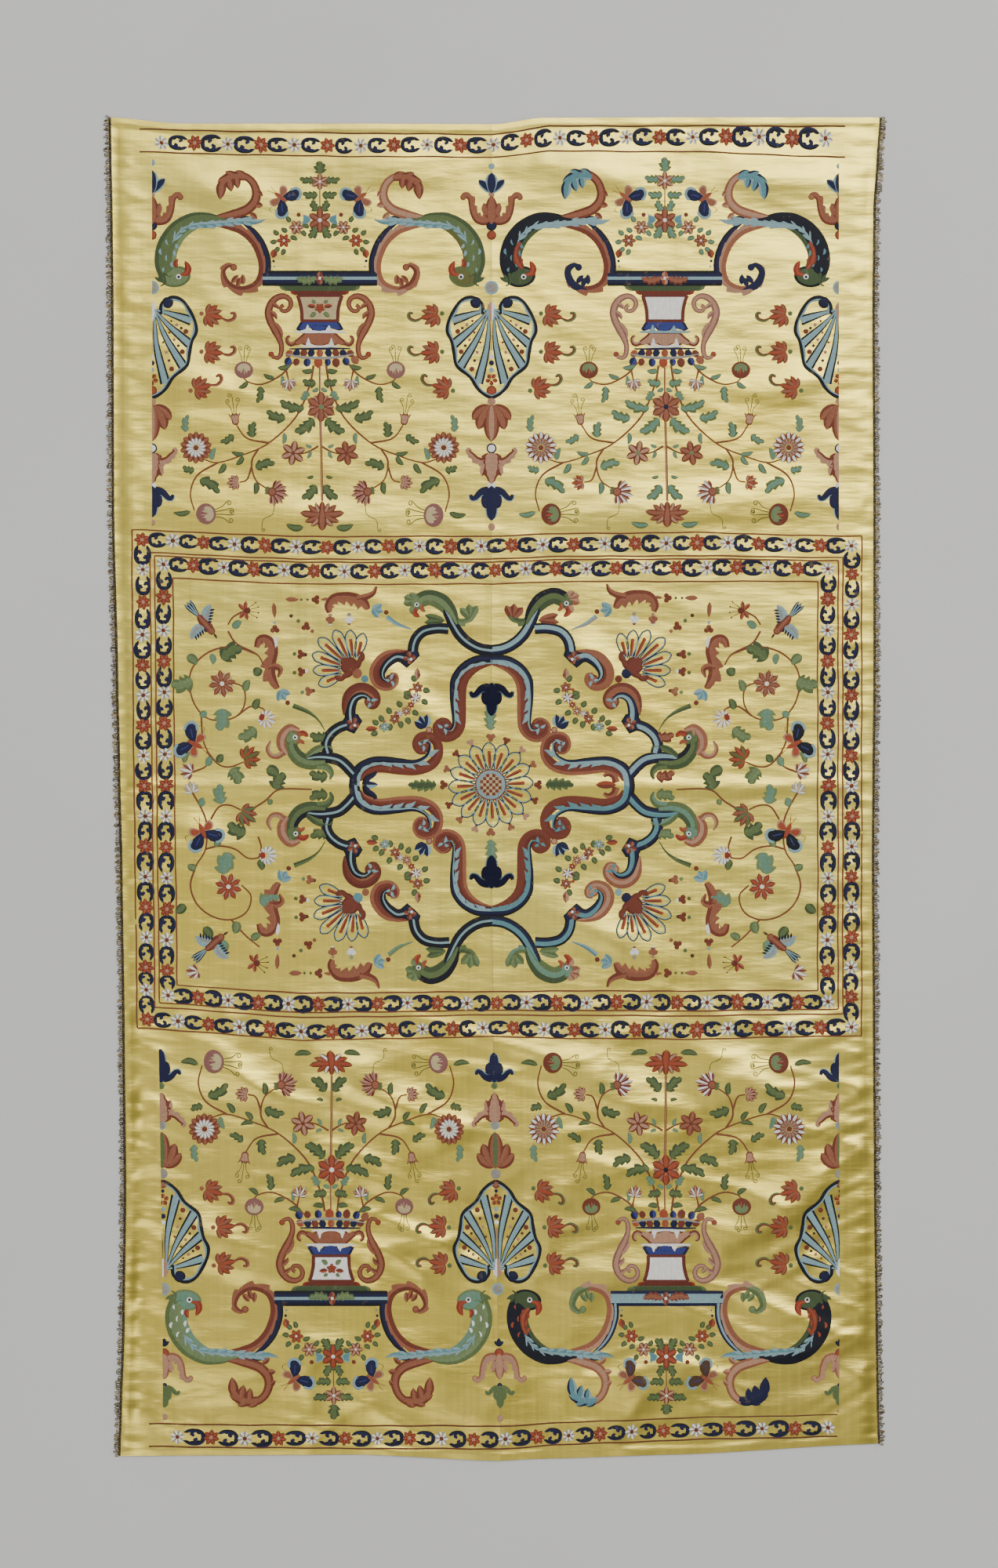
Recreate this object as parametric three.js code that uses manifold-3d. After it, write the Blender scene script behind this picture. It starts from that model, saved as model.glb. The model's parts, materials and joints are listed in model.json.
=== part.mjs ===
// Altar cloth of yellow satin, two loom widths joined by a seam down the middle. It lies spread
// on a surface, with a narrow looped metal-thread fringe along each long side.
// Millimetres, +Z up. X runs across the cloth, Y towards its top end, the surface is at Z = 0,
// and the origin is the middle of the whole outline.

import * as THREE from 'three';
import { mergeVertices } from 'three/addons/utils/BufferGeometryUtils.js';
import Module from 'manifold-3d';

// Driving sizes
const CLOTH_LENGTH = 2570;
const SHEET_THICKNESS = 1.6;
const HEM_WIDTH = 14;
const HEM_THICKNESS = 2.4;
const GAP = 0.3;

// Fringe: a braided strip beside each long edge, with locks of metal-thread loops
const STRIP_WIDTH = 4.5;
const STRIP_THICKNESS = 2.2;
const LOCKS_PER_SIDE = 140;
const LOCK_REACH = 12;
const LOCK_REACH_SPREAD = 2.2;
const LOCK_LEAN = 4;
const LOCK_ROOT = { width: 7, height: 1.8, sunk: 1.2 };
const LOCK_TIP = { width: 4.5, height: 1.1 };

// Mesh steps of a panel, between its hems
const STEPS_ACROSS = 16;
const STEPS_ALONG = 26;

// Each long edge and the seam, as the cloth lies: no line of it is quite straight
const SIDES = [
  { y: 1285, left: -736, seam: -8, right: 734 },
  { y: 1202, left: -735, seam: -8, right: 728 },
  { y: 1112, left: -733, seam: -8, right: 722 },
  { y: 910, left: -731, seam: -8, right: 720 },
  { y: 535, left: -730, seam: -8, right: 722 },
  { y: 205, left: -722, seam: -8, right: 722 },
  { y: 10, left: -718, seam: -8, right: 720 },
  { y: -155, left: -714, seam: -8, right: 719 },
  { y: -455, left: -710, seam: -5, right: 721 },
  { y: -770, left: -707, seam: -2, right: 723 },
  { y: -1040, left: -710, seam: 5, right: 726 },
  { y: -1190, left: -715, seam: 8, right: 728 },
  { y: -1285, left: -718, seam: 10, right: 731 },
];

// The two hemmed ends
const ENDS = [
  { x: -736, top: 1285, bottom: -1276 },
  { x: -604, top: 1273, bottom: -1275 },
  { x: -259, top: 1273, bottom: -1273 },
  { x: 0, top: 1272, bottom: -1285 },
  { x: 86, top: 1284, bottom: -1281 },
  { x: 341, top: 1285, bottom: -1273 },
  { x: 735, top: 1285, bottom: -1252 },
];

// Creases of storing: one straight across the middle, one down each width, and the seam's own
const CROSS_CREASE = { y: 5, height: 3, width: 15 };
const LONG_CREASE = { height: 2, width: 16 };
const SEAM_CREASE = { height: 1.8, width: 14 };

// Soft folds: each is a low ridge from one point to another, lowest at its ends
const FOLDS = [
  { x0: -640, y0: 1160, x1: -420, y1: 1130, height: 4, width: 34 },
  { x0: -300, y0: 1185, x1: -90, y1: 1205, height: 4, width: 36 },
  { x0: 60, y0: 1200, x1: 300, y1: 1165, height: 5, width: 38 },
  { x0: 420, y0: 1180, x1: 670, y1: 1150, height: 5, width: 36 },
  { x0: -660, y0: 800, x1: -500, y1: 770, height: 4, width: 34 },
  { x0: 480, y0: 760, x1: 670, y1: 800, height: 4, width: 34 },
  { x0: -640, y0: 545, x1: -180, y1: 510, height: 4, width: 36 },
  { x0: 120, y0: 520, x1: 620, y1: 560, height: 4, width: 38 },
  { x0: -250, y0: 250, x1: -120, y1: 120, height: 4, width: 36 },
  { x0: 120, y0: 300, x1: 260, y1: 180, height: 4, width: 36 },
  { x0: 90, y0: -230, x1: 330, y1: -330, height: 5, width: 36 },
  { x0: -640, y0: -60, x1: -500, y1: -110, height: 4, width: 34 },
  { x0: -420, y0: -290, x1: -150, y1: -250, height: 4, width: 36 },
  { x0: -640, y0: -500, x1: -380, y1: -610, height: 6, width: 44 },
  { x0: -330, y0: -520, x1: -120, y1: -620, height: 7, width: 42 },
  { x0: -230, y0: -720, x1: -40, y1: -640, height: 6, width: 36 },
  { x0: -650, y0: -800, x1: -470, y1: -900, height: 6, width: 44 },
  { x0: -290, y0: -900, x1: -70, y1: -850, height: 5, width: 40 },
  { x0: 90, y0: -520, x1: 300, y1: -600, height: 7, width: 46 },
  { x0: 360, y0: -500, x1: 640, y1: -640, height: 7, width: 46 },
  { x0: 110, y0: -760, x1: 330, y1: -700, height: 5, width: 40 },
  { x0: 440, y0: -860, x1: 670, y1: -720, height: 7, width: 42 },
  { x0: 90, y0: -960, x1: 340, y1: -900, height: 5, width: 42 },
  { x0: -600, y0: -1120, x1: -330, y1: -1080, height: 6, width: 46 },
  { x0: -210, y0: -1060, x1: -50, y1: -1130, height: 5, width: 38 },
  { x0: 140, y0: -1160, x1: 460, y1: -1110, height: 6, width: 44 },
  { x0: 500, y0: -1010, x1: 670, y1: -1080, height: 5, width: 40 },
];

// The folds sink to nothing towards the long edges, where the fringe lies level
const EDGE_FADE = 55;
const END_FADE = 45;

const satin = () => new THREE.MeshStandardMaterial({ color: 0xd3bd6b, roughness: 0.42, metalness: 0.0 });
const metalThread = () => new THREE.MeshStandardMaterial({ color: 0x6b5f3c, roughness: 0.5, metalness: 0.6 });

// A smooth value between the rows of a table, which run up or down in column `by`
function between(rows, by, column, at) {
  const falling = rows[0][by] > rows[rows.length - 1][by];
  const sorted = falling ? [...rows].reverse() : rows;
  const last = sorted.length - 1;
  const place = Math.min(Math.max(at, sorted[0][by]), sorted[last][by]);
  let next = 1;
  while (next < last && sorted[next][by] < place) next += 1;
  const span = sorted[next][by] - sorted[next - 1][by];
  const share = THREE.MathUtils.smoothstep(place, sorted[next - 1][by], sorted[next][by]);
  const straight = (place - sorted[next - 1][by]) / span;
  const blend = (share + straight) / 2;
  return THREE.MathUtils.lerp(sorted[next - 1][column], sorted[next][column], blend);
}

const bell = (distance, width) => Math.exp(-((distance / width) ** 2));

// Height of one soft fold above the surface at a point
function foldRise(fold, x, y) {
  const along = new THREE.Vector2(fold.x1 - fold.x0, fold.y1 - fold.y0);
  const from = new THREE.Vector2(x - fold.x0, y - fold.y0);
  const share = THREE.MathUtils.clamp(from.dot(along) / along.lengthSq(), 0, 1);
  const distance = from.addScaledVector(along, -share).length();
  const swell = 0.35 + 0.65 * Math.sin(Math.PI * share);
  return fold.height * swell * bell(distance, fold.width);
}

// Height of the cloth's underside at a point
function lie(x, y) {
  const left = between(SIDES, 'y', 'left', y);
  const seam = between(SIDES, 'y', 'seam', y);
  const right = between(SIDES, 'y', 'right', y);
  const toSide = Math.min(x - left, right - x);
  const toEnd = Math.min(between(ENDS, 'x', 'top', x) - y, y - between(ENDS, 'x', 'bottom', x));
  const widthMiddle = x < seam ? (left + seam) / 2 : (right + seam) / 2;
  let rise = CROSS_CREASE.height * bell(y - CROSS_CREASE.y, CROSS_CREASE.width);
  rise = Math.max(rise, LONG_CREASE.height * bell(x - widthMiddle, LONG_CREASE.width));
  rise = Math.max(rise, SEAM_CREASE.height * bell(x - seam, SEAM_CREASE.width));
  for (const fold of FOLDS) rise = Math.max(rise, foldRise(fold, x, y));
  const level = rise < 0.25 ? 0 : rise - 0.25;
  const atSide = THREE.MathUtils.smoothstep(toSide, 0, EDGE_FADE);
  const atEnd = THREE.MathUtils.smoothstep(toEnd, 0, END_FADE);
  return level * atSide * (0.3 + 0.7 * atEnd);
}

// Shares of a panel's length: the hems' inner lines, and three rows on the cross crease
function sharesAlong() {
  const hem = HEM_WIDTH / CLOTH_LENGTH;
  const crease = 0.5 + CROSS_CREASE.y / CLOTH_LENGTH;
  const shoulder = CROSS_CREASE.width / CLOTH_LENGTH;
  const shares = [0, hem];
  const half = (from, to) => {
    for (let step = 1; step <= STEPS_ALONG; step += 1) {
      shares.push(THREE.MathUtils.lerp(from, to, step / STEPS_ALONG));
    }
  };
  half(hem, crease - shoulder);
  shares.push(crease, crease + shoulder);
  half(crease + shoulder, 1 - hem);
  shares.push(1);
  return shares;
}

// Shares of a panel's width, from the side edge to the seam
function sharesAcross(width) {
  const hem = HEM_WIDTH / width;
  const shares = [0];
  for (let step = 0; step <= STEPS_ACROSS; step += 1) {
    shares.push(THREE.MathUtils.lerp(hem, 1, step / STEPS_ACROSS));
  }
  return shares;
}

// A closed solid from a grid of columns and rows: `corner` gives a point's place and both heights
function sheetSolid(columns, rows, corner) {
  const points = [];
  const under = (i, j) => 2 * (i * rows + j);
  const over = (i, j) => under(i, j) + 1;
  for (let i = 0; i < columns; i += 1) {
    for (let j = 0; j < rows; j += 1) {
      const { x, y, low, high } = corner(i, j);
      points.push(x, y, low, x, y, high);
    }
  }
  const faces = [];
  const quad = (a, b, c, d) => faces.push(a, b, c, a, c, d);
  for (let i = 0; i + 1 < columns; i += 1) {
    for (let j = 0; j + 1 < rows; j += 1) {
      quad(over(i, j), over(i + 1, j), over(i + 1, j + 1), over(i, j + 1));
      quad(under(i, j), under(i, j + 1), under(i + 1, j + 1), under(i + 1, j));
    }
  }
  const lastColumn = columns - 1;
  const lastRow = rows - 1;
  for (let i = 0; i < lastColumn; i += 1) {
    quad(under(i, 0), under(i + 1, 0), over(i + 1, 0), over(i, 0));
    quad(under(i + 1, lastRow), under(i, lastRow), over(i, lastRow), over(i + 1, lastRow));
  }
  for (let j = 0; j < lastRow; j += 1) {
    quad(under(0, j + 1), under(0, j), over(0, j), over(0, j + 1));
    quad(under(lastColumn, j), under(lastColumn, j + 1), over(lastColumn, j + 1), over(lastColumn, j));
  }
  const solid = new THREE.BufferGeometry();
  solid.setAttribute('position', new THREE.Float32BufferAttribute(points, 3));
  solid.setIndex(faces);
  return solid;
}

// A point of a panel, from its share of the width, edge to seam, and of the length, bottom to top
function panelPoint(side, across, along) {
  const nominal = (along - 0.5) * CLOTH_LENGTH;
  const edge = between(SIDES, 'y', side < 0 ? 'left' : 'right', nominal);
  const seam = between(SIDES, 'y', 'seam', nominal) + (side * GAP) / 2;
  const x = THREE.MathUtils.lerp(edge, seam, across);
  const bottom = between(ENDS, 'x', 'bottom', x);
  const top = between(ENDS, 'x', 'top', x);
  return { x, y: THREE.MathUtils.lerp(bottom, top, along) };
}

// One loom width of the cloth with its hems, from its side edge to the seam
function panelSolid(side) {
  const outer = side < 0 ? 'left' : 'right';
  const across = sharesAcross(Math.abs(SIDES[0][outer] - SIDES[0].seam));
  const along = sharesAlong();
  if (side > 0) across.reverse();
  return sheetSolid(across.length, along.length, (i, j) => {
    const { x, y } = panelPoint(side, across[i], along[j]);
    const hemmed = across[i] === 0 || j === 0 || j === along.length - 1;
    const low = lie(x, y);
    return { x, y, low, high: low + (hemmed ? HEM_THICKNESS : SHEET_THICKNESS) };
  });
}

// The braided strip that carries one fringe, beside the cloth's edge
function stripSolid(side) {
  const rows = sharesAlong();
  const offsets = side < 0 ? [-GAP - STRIP_WIDTH, -GAP] : [GAP, GAP + STRIP_WIDTH];
  return sheetSolid(2, rows.length, (i, j) => {
    const { x, y } = panelPoint(side, 0, rows[j]);
    return { x: x + offsets[i], y, low: 0, high: STRIP_THICKNESS };
  });
}

// One lock of loops: three-sided, flat side down, from its root in the strip to its tip
function lockSolid(side, index) {
  const { x, y } = panelPoint(side, 0, (index + 0.5) / LOCKS_PER_SIDE);
  const root = x + side * (GAP + STRIP_WIDTH - LOCK_ROOT.sunk);
  const reach = LOCK_ROOT.sunk + LOCK_REACH + LOCK_REACH_SPREAD * Math.sin(index * 2.4);
  const lean = LOCK_LEAN * Math.sin(index * 1.7);
  const section = (x, middle, { width, height }) => [
    x, middle - width / 2, 0, x, middle + width / 2, 0, x, middle, height];
  const points = [...section(root, y, LOCK_ROOT), ...section(root + side * reach, y + lean, LOCK_TIP)];
  const faces = [
    [0, 2, 1], [3, 4, 5], [0, 1, 4], [0, 4, 3], [1, 2, 5], [1, 5, 4], [2, 0, 3], [2, 3, 5]];
  const outward = faces.map(([a, b, c]) => (side > 0 ? [a, b, c] : [a, c, b]));
  const lock = new THREE.BufferGeometry();
  lock.setAttribute('position', new THREE.Float32BufferAttribute(points, 3));
  lock.setIndex(outward.flat());
  return lock;
}

const wasm = await Module();
wasm.setup();

function toManifold(geometry) {
  const merged = mergeVertices(geometry);
  return new wasm.Manifold(new wasm.Mesh({
    numProp: 3,
    vertProperties: new Float32Array(merged.attributes.position.array),
    triVerts: new Uint32Array(merged.index.array),
  }));
}

function toGeometry(manifold) {
  const { vertProperties, triVerts } = manifold.getMesh();
  const geometry = new THREE.BufferGeometry();
  geometry.setAttribute('position', new THREE.BufferAttribute(vertProperties, 3));
  geometry.setIndex(new THREE.BufferAttribute(triVerts, 1));
  return geometry;
}

// The strip with every lock's root fused into it
function fringeSolid(side) {
  let fringe = toManifold(stripSolid(side));
  for (let index = 0; index < LOCKS_PER_SIDE; index += 1) {
    fringe = fringe.add(toManifold(lockSolid(side, index)));
  }
  return toGeometry(fringe);
}

function piece(name, geometry, material) {
  const mesh = new THREE.Mesh(geometry, material);
  mesh.name = name;
  return mesh;
}

const cloth = new THREE.Group();
cloth.add(
  piece('panel_left', panelSolid(-1), satin()),
  piece('panel_right', panelSolid(1), satin()),
  piece('fringe_left', fringeSolid(-1), metalThread()),
  piece('fringe_right', fringeSolid(1), metalThread()),
);

// The origin is the middle of the whole outline, on the surface
const middle = new THREE.Box3().setFromObject(cloth).getCenter(new THREE.Vector3());
for (const mesh of cloth.children) mesh.position.set(-middle.x, -middle.y, 0);

export default cloth;
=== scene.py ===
"""Embroidered yellow satin altar cloth, lying flat: its sheets, silk work, fringe and sewing."""
import json
import math

import bmesh
import bpy
import numpy as np
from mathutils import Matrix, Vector

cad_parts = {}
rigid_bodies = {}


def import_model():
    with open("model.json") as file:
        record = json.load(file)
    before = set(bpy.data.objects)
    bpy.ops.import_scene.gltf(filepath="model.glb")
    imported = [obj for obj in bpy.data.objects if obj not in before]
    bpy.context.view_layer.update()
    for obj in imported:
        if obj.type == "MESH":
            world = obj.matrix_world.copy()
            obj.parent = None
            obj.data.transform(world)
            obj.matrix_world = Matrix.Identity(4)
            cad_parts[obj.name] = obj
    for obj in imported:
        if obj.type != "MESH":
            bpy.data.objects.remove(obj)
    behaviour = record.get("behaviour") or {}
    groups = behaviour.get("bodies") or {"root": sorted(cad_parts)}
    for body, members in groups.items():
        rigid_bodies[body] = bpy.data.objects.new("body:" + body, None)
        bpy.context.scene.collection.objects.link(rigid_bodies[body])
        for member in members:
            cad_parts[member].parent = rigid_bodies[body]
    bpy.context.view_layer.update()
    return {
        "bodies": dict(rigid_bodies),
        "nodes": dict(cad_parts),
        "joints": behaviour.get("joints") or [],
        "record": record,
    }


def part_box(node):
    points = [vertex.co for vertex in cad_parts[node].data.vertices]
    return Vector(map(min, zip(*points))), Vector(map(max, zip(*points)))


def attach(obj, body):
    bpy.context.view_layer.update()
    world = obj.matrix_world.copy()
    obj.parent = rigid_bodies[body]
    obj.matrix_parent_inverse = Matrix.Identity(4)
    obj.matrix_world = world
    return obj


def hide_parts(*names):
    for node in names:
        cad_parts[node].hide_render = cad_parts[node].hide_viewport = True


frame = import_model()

# Driving sizes, in metres
SQUARE = 0.0015                 # one square of the drawn pattern
CLOTH_LENGTH = 2.570
SATIN_THICKNESS = 0.0008
HEM_WIDTH = 0.014
HEM_THICKNESS = 0.0016
GRID = 0.0075                   # step of the satin's mesh
STITCH_BED = 0.00028            # silk lies this far above the satin
SEAM_GAP = 0.0003
BRAID_WIDTH = 0.0045
LOOP_PITCH = 0.0042
LOOP_REACH = 0.0095
LOOM_WIDTH = 0.73
BRAID_GAP = 0.0003              # between the satin's edge and the braid
BRAID_THICKNESS = 0.0019
BRAID_LIFT = 0.0011             # height of the braid's middle line
GILT_THREAD = 0.0008            # radius of a loop's thread
SLACK = 0.0001                  # sewing threads lie this far above the satin
PATCH_STEP = 6                  # squares between the points of a large patch
SEED = 41


def records(columns, *rows):
    """Rows of values as dictionaries with named columns."""
    return [dict(zip(columns.split(), row)) for row in rows]


# The cloth's own axes start at the seam's nominal line; the frame's origin is its box's middle
LEFT_LOW, LEFT_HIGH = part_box("panel_left")
SHIFT = Vector((LEFT_LOW.x + 0.736, LEFT_HIGH.y - 1.285, 0.0))
PATTERN_MIDDLE = (-0.00825, 0.00525)

# How the long edges and the seam run, and the two ends, in millimetres
SIDES = {
    "y": (-1285, -1190, -1040, -770, -455, -155, 10, 205, 535, 910, 1112, 1202, 1285),
    "left": (-718, -715, -710, -707, -710, -714, -718, -722, -730, -731, -733, -735, -736),
    "seam": (10, 8, 5, -2, -5, -8, -8, -8, -8, -8, -8, -8, -8),
    "right": (731, 728, 726, 723, 721, 719, 720, 722, 722, 720, 722, 728, 734),
}
ENDS = {
    "x": (-736, -604, -259, 0, 86, 341, 735),
    "top": (1285, 1273, 1273, 1272, 1284, 1285, 1285),
    "bottom": (-1276, -1275, -1273, -1285, -1281, -1273, -1252),
}

# Soft folds of the cloth, in millimetres
FOLDS = records(
    "x0 y0 x1 y1 height width",
    (-640, 1160, -420, 1130, 4, 34),
    (-300, 1185, -90, 1205, 4, 36),
    (60, 1200, 300, 1165, 5, 38),
    (420, 1180, 670, 1150, 5, 36),
    (-660, 800, -500, 770, 4, 34),
    (480, 760, 670, 800, 4, 34),
    (-640, 545, -180, 510, 4, 36),
    (120, 520, 620, 560, 4, 38),
    (-250, 250, -120, 120, 4, 36),
    (120, 300, 260, 180, 4, 36),
    (90, -230, 330, -330, 5, 36),
    (-640, -60, -500, -110, 4, 34),
    (-420, -290, -150, -250, 4, 36),
    (-640, -500, -380, -610, 6, 44),
    (-330, -520, -120, -620, 7, 42),
    (-230, -720, -40, -640, 6, 36),
    (-650, -800, -470, -900, 6, 44),
    (-290, -900, -70, -850, 5, 40),
    (90, -520, 300, -600, 7, 46),
    (360, -500, 640, -640, 7, 46),
    (110, -760, 330, -700, 5, 40),
    (440, -860, 670, -720, 7, 42),
    (90, -960, 340, -900, 5, 42),
    (-600, -1120, -330, -1080, 6, 46),
    (-210, -1060, -50, -1130, 5, 38),
    (140, -1160, 460, -1110, 6, 44),
    (500, -1010, 670, -1080, 5, 40),
)
EDGE_FADE = 55                  # the folds die out over this much at the long edges, and at the ends
END_FADE = 45

# Dyed silks, as screen colours
SILKS = {
    "navy": (22, 25, 60), "ink": (14, 16, 27), "blue": (50, 58, 122), "sky": (136, 166, 168),
    "teal": (92, 138, 142), "white": (244, 240, 228), "cream": (198, 176, 128),
    "brick": (116, 54, 35), "rust": (104, 44, 30), "orange": (160, 72, 40), "red": (142, 46, 30),
    "salmon": (149, 90, 62), "pink": (180, 134, 104), "mauve": (138, 90, 82),
    "maroon": (110, 38, 40), "green": (92, 108, 62), "sage": (112, 130, 84),
    "moss": (66, 82, 48), "mint": (104, 140, 114), "olive": (100, 100, 48),
    "stem": (132, 84, 50), "brown": (82, 54, 34), "grey": (150, 144, 130),
}


def smooth(t):
    """The smooth step of a share."""
    t = np.clip(t, 0.0, 1.0)
    return t * t * (3.0 - 2.0 * t)


def between(table, by, column, at):
    """A smooth value between the entries of a table that run up in column `by`."""
    keys = np.asarray(table[by], float)
    values = np.asarray(table[column], float)
    at = np.clip(at, keys[0], keys[-1])
    place = np.clip(np.searchsorted(keys, at, side="left"), 1, len(keys) - 1)
    straight = (at - keys[place - 1]) / (keys[place] - keys[place - 1])
    blend = (straight + smooth(straight)) / 2.0
    return values[place - 1] + (values[place] - values[place - 1]) * blend


def bell(distance, width):
    """A round rise that is 1 at no distance and fades out over a width."""
    return np.exp(-((distance / width) ** 2))


def soft_grain(x, y, seed):
    """Smooth noise from 0 to 1, one step of its lattice for each unit of x and y."""
    lattice = np.random.default_rng(seed).random((64, 64))
    i, j = np.floor(x).astype(int), np.floor(y).astype(int)
    s, t = smooth(x - i), smooth(y - j)
    i0, i1, j0, j1 = i % 64, (i + 1) % 64, j % 64, (j + 1) % 64
    low = lattice[i0, j0] * (1 - s) + lattice[i1, j0] * s
    high = lattice[i0, j1] * (1 - s) + lattice[i1, j1] * s
    return low * (1 - t) + high * t


def crease_grain(x, y, turn, length, width, seed):
    """Irregular creases from 0 to 1 that run at an angle, in millimetres."""
    c, s = math.cos(math.radians(turn)), math.sin(math.radians(turn))
    along, across = (x * c + y * s) / length, (y * c - x * s) / width
    bend = 1.4 * soft_grain(along * 0.7, across * 0.25, seed + 1)
    return (1.0 - np.abs(2.0 * soft_grain(along, across + bend, seed) - 1.0)) ** 2


def lie(x, y):
    """Height of the cloth's underside, in millimetres, at points in millimetres."""
    left, seam = between(SIDES, "y", "left", y), between(SIDES, "y", "seam", y)
    right = between(SIDES, "y", "right", y)
    to_side = np.minimum(x - left, right - x)
    to_end = np.minimum(between(ENDS, "x", "top", x) - y, y - between(ENDS, "x", "bottom", x))
    middle = np.where(x < seam, (left + seam) / 2, (right + seam) / 2)
    rise = 2.2 * bell(y - 5, 16)
    rise = np.maximum(rise, 0.5 * bell(x - middle, 22))
    rise = np.maximum(rise, 0.6 * bell(x - seam, 11))
    for fold in FOLDS:
        dx, dy = fold["x1"] - fold["x0"], fold["y1"] - fold["y0"]
        share = np.clip(((x - fold["x0"]) * dx + (y - fold["y0"]) * dy) / (dx * dx + dy * dy), 0, 1)
        away = np.hypot(x - fold["x0"] - share * dx, y - fold["y0"] - share * dy)
        high = fold["height"] * (0.35 + 0.65 * np.sin(np.pi * share))
        rise = np.maximum(rise, high * bell(away, fold["width"]))
    level = np.maximum(rise - 0.25, 0.0)
    at_end = 0.3 + 0.7 * smooth(to_end / END_FADE)
    return level * smooth(to_side / EDGE_FADE) * at_end, to_side, to_end


def relief(x, y):
    """Small creases and puckers on the folds, in millimetres."""
    large, to_side, to_end = lie(x, y)
    low_third = smooth((-330 - y) / 160)
    slack = 0.3 + 0.7 * low_third
    fine = 3.0 * slack * crease_grain(x, y, -16, 230, 60, 5)
    fine = fine + 2.0 * slack * crease_grain(x, y, 13, 170, 40, 9)
    fine = fine + 0.5 * crease_grain(x, y, 2, 90, 18, 13)
    pucker = crease_grain(x, y, 3, 70, 12, 17) * bell(to_side - 26, 36)
    pull = np.where(x > 0, crease_grain(x, y, 24, 150, 26, 21), crease_grain(x, y, -24, 150, 26, 21))
    pull = pull * (0.2 + 0.8 * low_third) * bell(to_side - 50, 85)
    fine = fine * smooth(to_side / 30) + 1.5 * pucker + 1.6 * pull * smooth(to_side / 25)
    return large + fine * (0.25 + 0.75 * smooth(to_end / 30))


def satin_top(x, y):
    """Height of the satin's upper face, in metres, at points in the frame's metres."""
    own_x, own_y = (x - SHIFT.x) * 1000, (y - SHIFT.y) * 1000
    to_end = lie(own_x, own_y)[2] / 1000
    hem = 1 - smooth((to_end - HEM_WIDTH) / (0.2 * HEM_WIDTH))
    return relief(own_x, own_y) / 1000 + SATIN_THICKNESS + (HEM_THICKNESS - SATIN_THICKNESS) * hem


# How far the pattern has crept on the cloth, in squares, at places in squares
CREEP_ACROSS = {
    "u": (-433, -219, 0, 221, 443),
    850: (0, 0, 0, 0, 0), 330: (0, 0, 0, 0, 0), 0: (3, 1, 0, 0, 0), -150: (5, 2, 0, 0, 0),
    -308: (7, 6, 2, 0, 0), -347: (9, 12, 3, -3, 0), -600: (13, 15, 7, 0, 1), -787: (14, 18, 11, 1, 0),
}
CREEP_ALONG = {
    "u": (-449, -247, 0, 73, 253, 445),
    837: (1, -3, -6, 5, 5.5, 5), 808: (1, -4, -6, 2, 1.5, -6), 763: (0, 0, 0, 0, 0, 0),
    363: (0, 0, 0, 0, 0, 0), 322: (5, -3.5, -3, 0, 2, -3), 261: (6.4, -3, -3, 0, 0.5, 0.5),
    203: (0, 0, 0, 0, 0, 0), -237: (0, 0, 0, 0, 0, 0), -261: (10, -3, -1, 0, 0, 1),
    -319: (11, -5, 0, -2, -3.6, 1), -360: (0, 0, 0, 0, 0, 0), -787: (0, 0, 0, 0, 0, 0),
    -813: (0, -2, -3, 1, 8, 12), -842: (0, -2, -3, 2, 9, 13),
}


def creep(table, u, v):
    """The pattern's creep at places in squares, straight between the table's places."""
    rows = sorted(key for key in table if key != "u")
    grid = np.array([np.interp(u, table["u"], table[row]) for row in rows])
    v = np.clip(v, rows[0], rows[-1])
    place = np.clip(np.searchsorted(rows, v), 1, len(rows) - 1)
    rows = np.array(rows, float)
    share = (v - rows[place - 1]) / (rows[place] - rows[place - 1])
    each = np.arange(len(u))
    return grid[place - 1, each] * (1 - share) + grid[place, each] * share


def to_frame(u, v):
    """The frame's x and y, in metres, of a place on the pattern, in squares."""
    x = (u + creep(CREEP_ACROSS, u, v)) * SQUARE + PATTERN_MIDDLE[0] + SHIFT.x
    y = (v + creep(CREEP_ALONG, u, v)) * SQUARE + PATTERN_MIDDLE[1] + SHIFT.y
    return x, y


def linear(colour):
    """A screen colour from 0 to 255 as linear light."""
    parts = []
    for part in colour:
        part = part / 255
        parts.append(part / 12.92 if part <= 0.04045 else ((part + 0.055) / 1.055) ** 2.4)
    return tuple(parts) + (1.0,)


# Lines to stitch along
def through(points, gap=3.0):
    """A smooth line through points, in even steps of about `gap` squares."""
    points = np.asarray(points, float)
    padded = np.vstack([2 * points[0] - points[1], points, 2 * points[-1] - points[-2]])
    t = np.linspace(0, 1, 12, endpoint=False)[:, None]
    pieces = []
    for a, b, c, d in zip(padded, padded[1:], padded[2:], padded[3:]):
        curve = 2 * b + (c - a) * t + (2 * a - 5 * b + 4 * c - d) * t ** 2
        pieces.append((curve + (3 * b - a - 3 * c + d) * t ** 3) / 2)
    return even(np.vstack(pieces + [points[-1:]]), gap)


def even(line, gap):
    """The same line in even steps."""
    line = np.asarray(line, float)
    run = np.concatenate([[0], np.cumsum(np.hypot(*np.diff(line, axis=0).T))])
    places = np.linspace(0, run[-1], max(3, round(run[-1] / gap) + 1))
    return np.column_stack([np.interp(places, run, line[:, 0]), np.interp(places, run, line[:, 1])])


def rod(start, end, count):
    """A straight line along x, as a number of points."""
    return np.linspace((start, 0), (end, 0), count)


def bearing(x, y):
    """The angle of a step, in degrees."""
    return math.degrees(math.atan2(y, x))


def arc(x, y, radius, start, end, gap=3.0, end_radius=None):
    """A round line about a centre, between two angles in degrees; a spiral with an end radius."""
    end_radius = radius if end_radius is None else end_radius
    count = max(4, round(abs(math.radians(end - start)) * (radius + end_radius) / 2 / gap) + 1)
    angle = np.radians(np.linspace(start, end, count))
    reach = np.linspace(radius, end_radius, count)
    return np.column_stack([x + reach * np.cos(angle), y + reach * np.sin(angle)])


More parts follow.
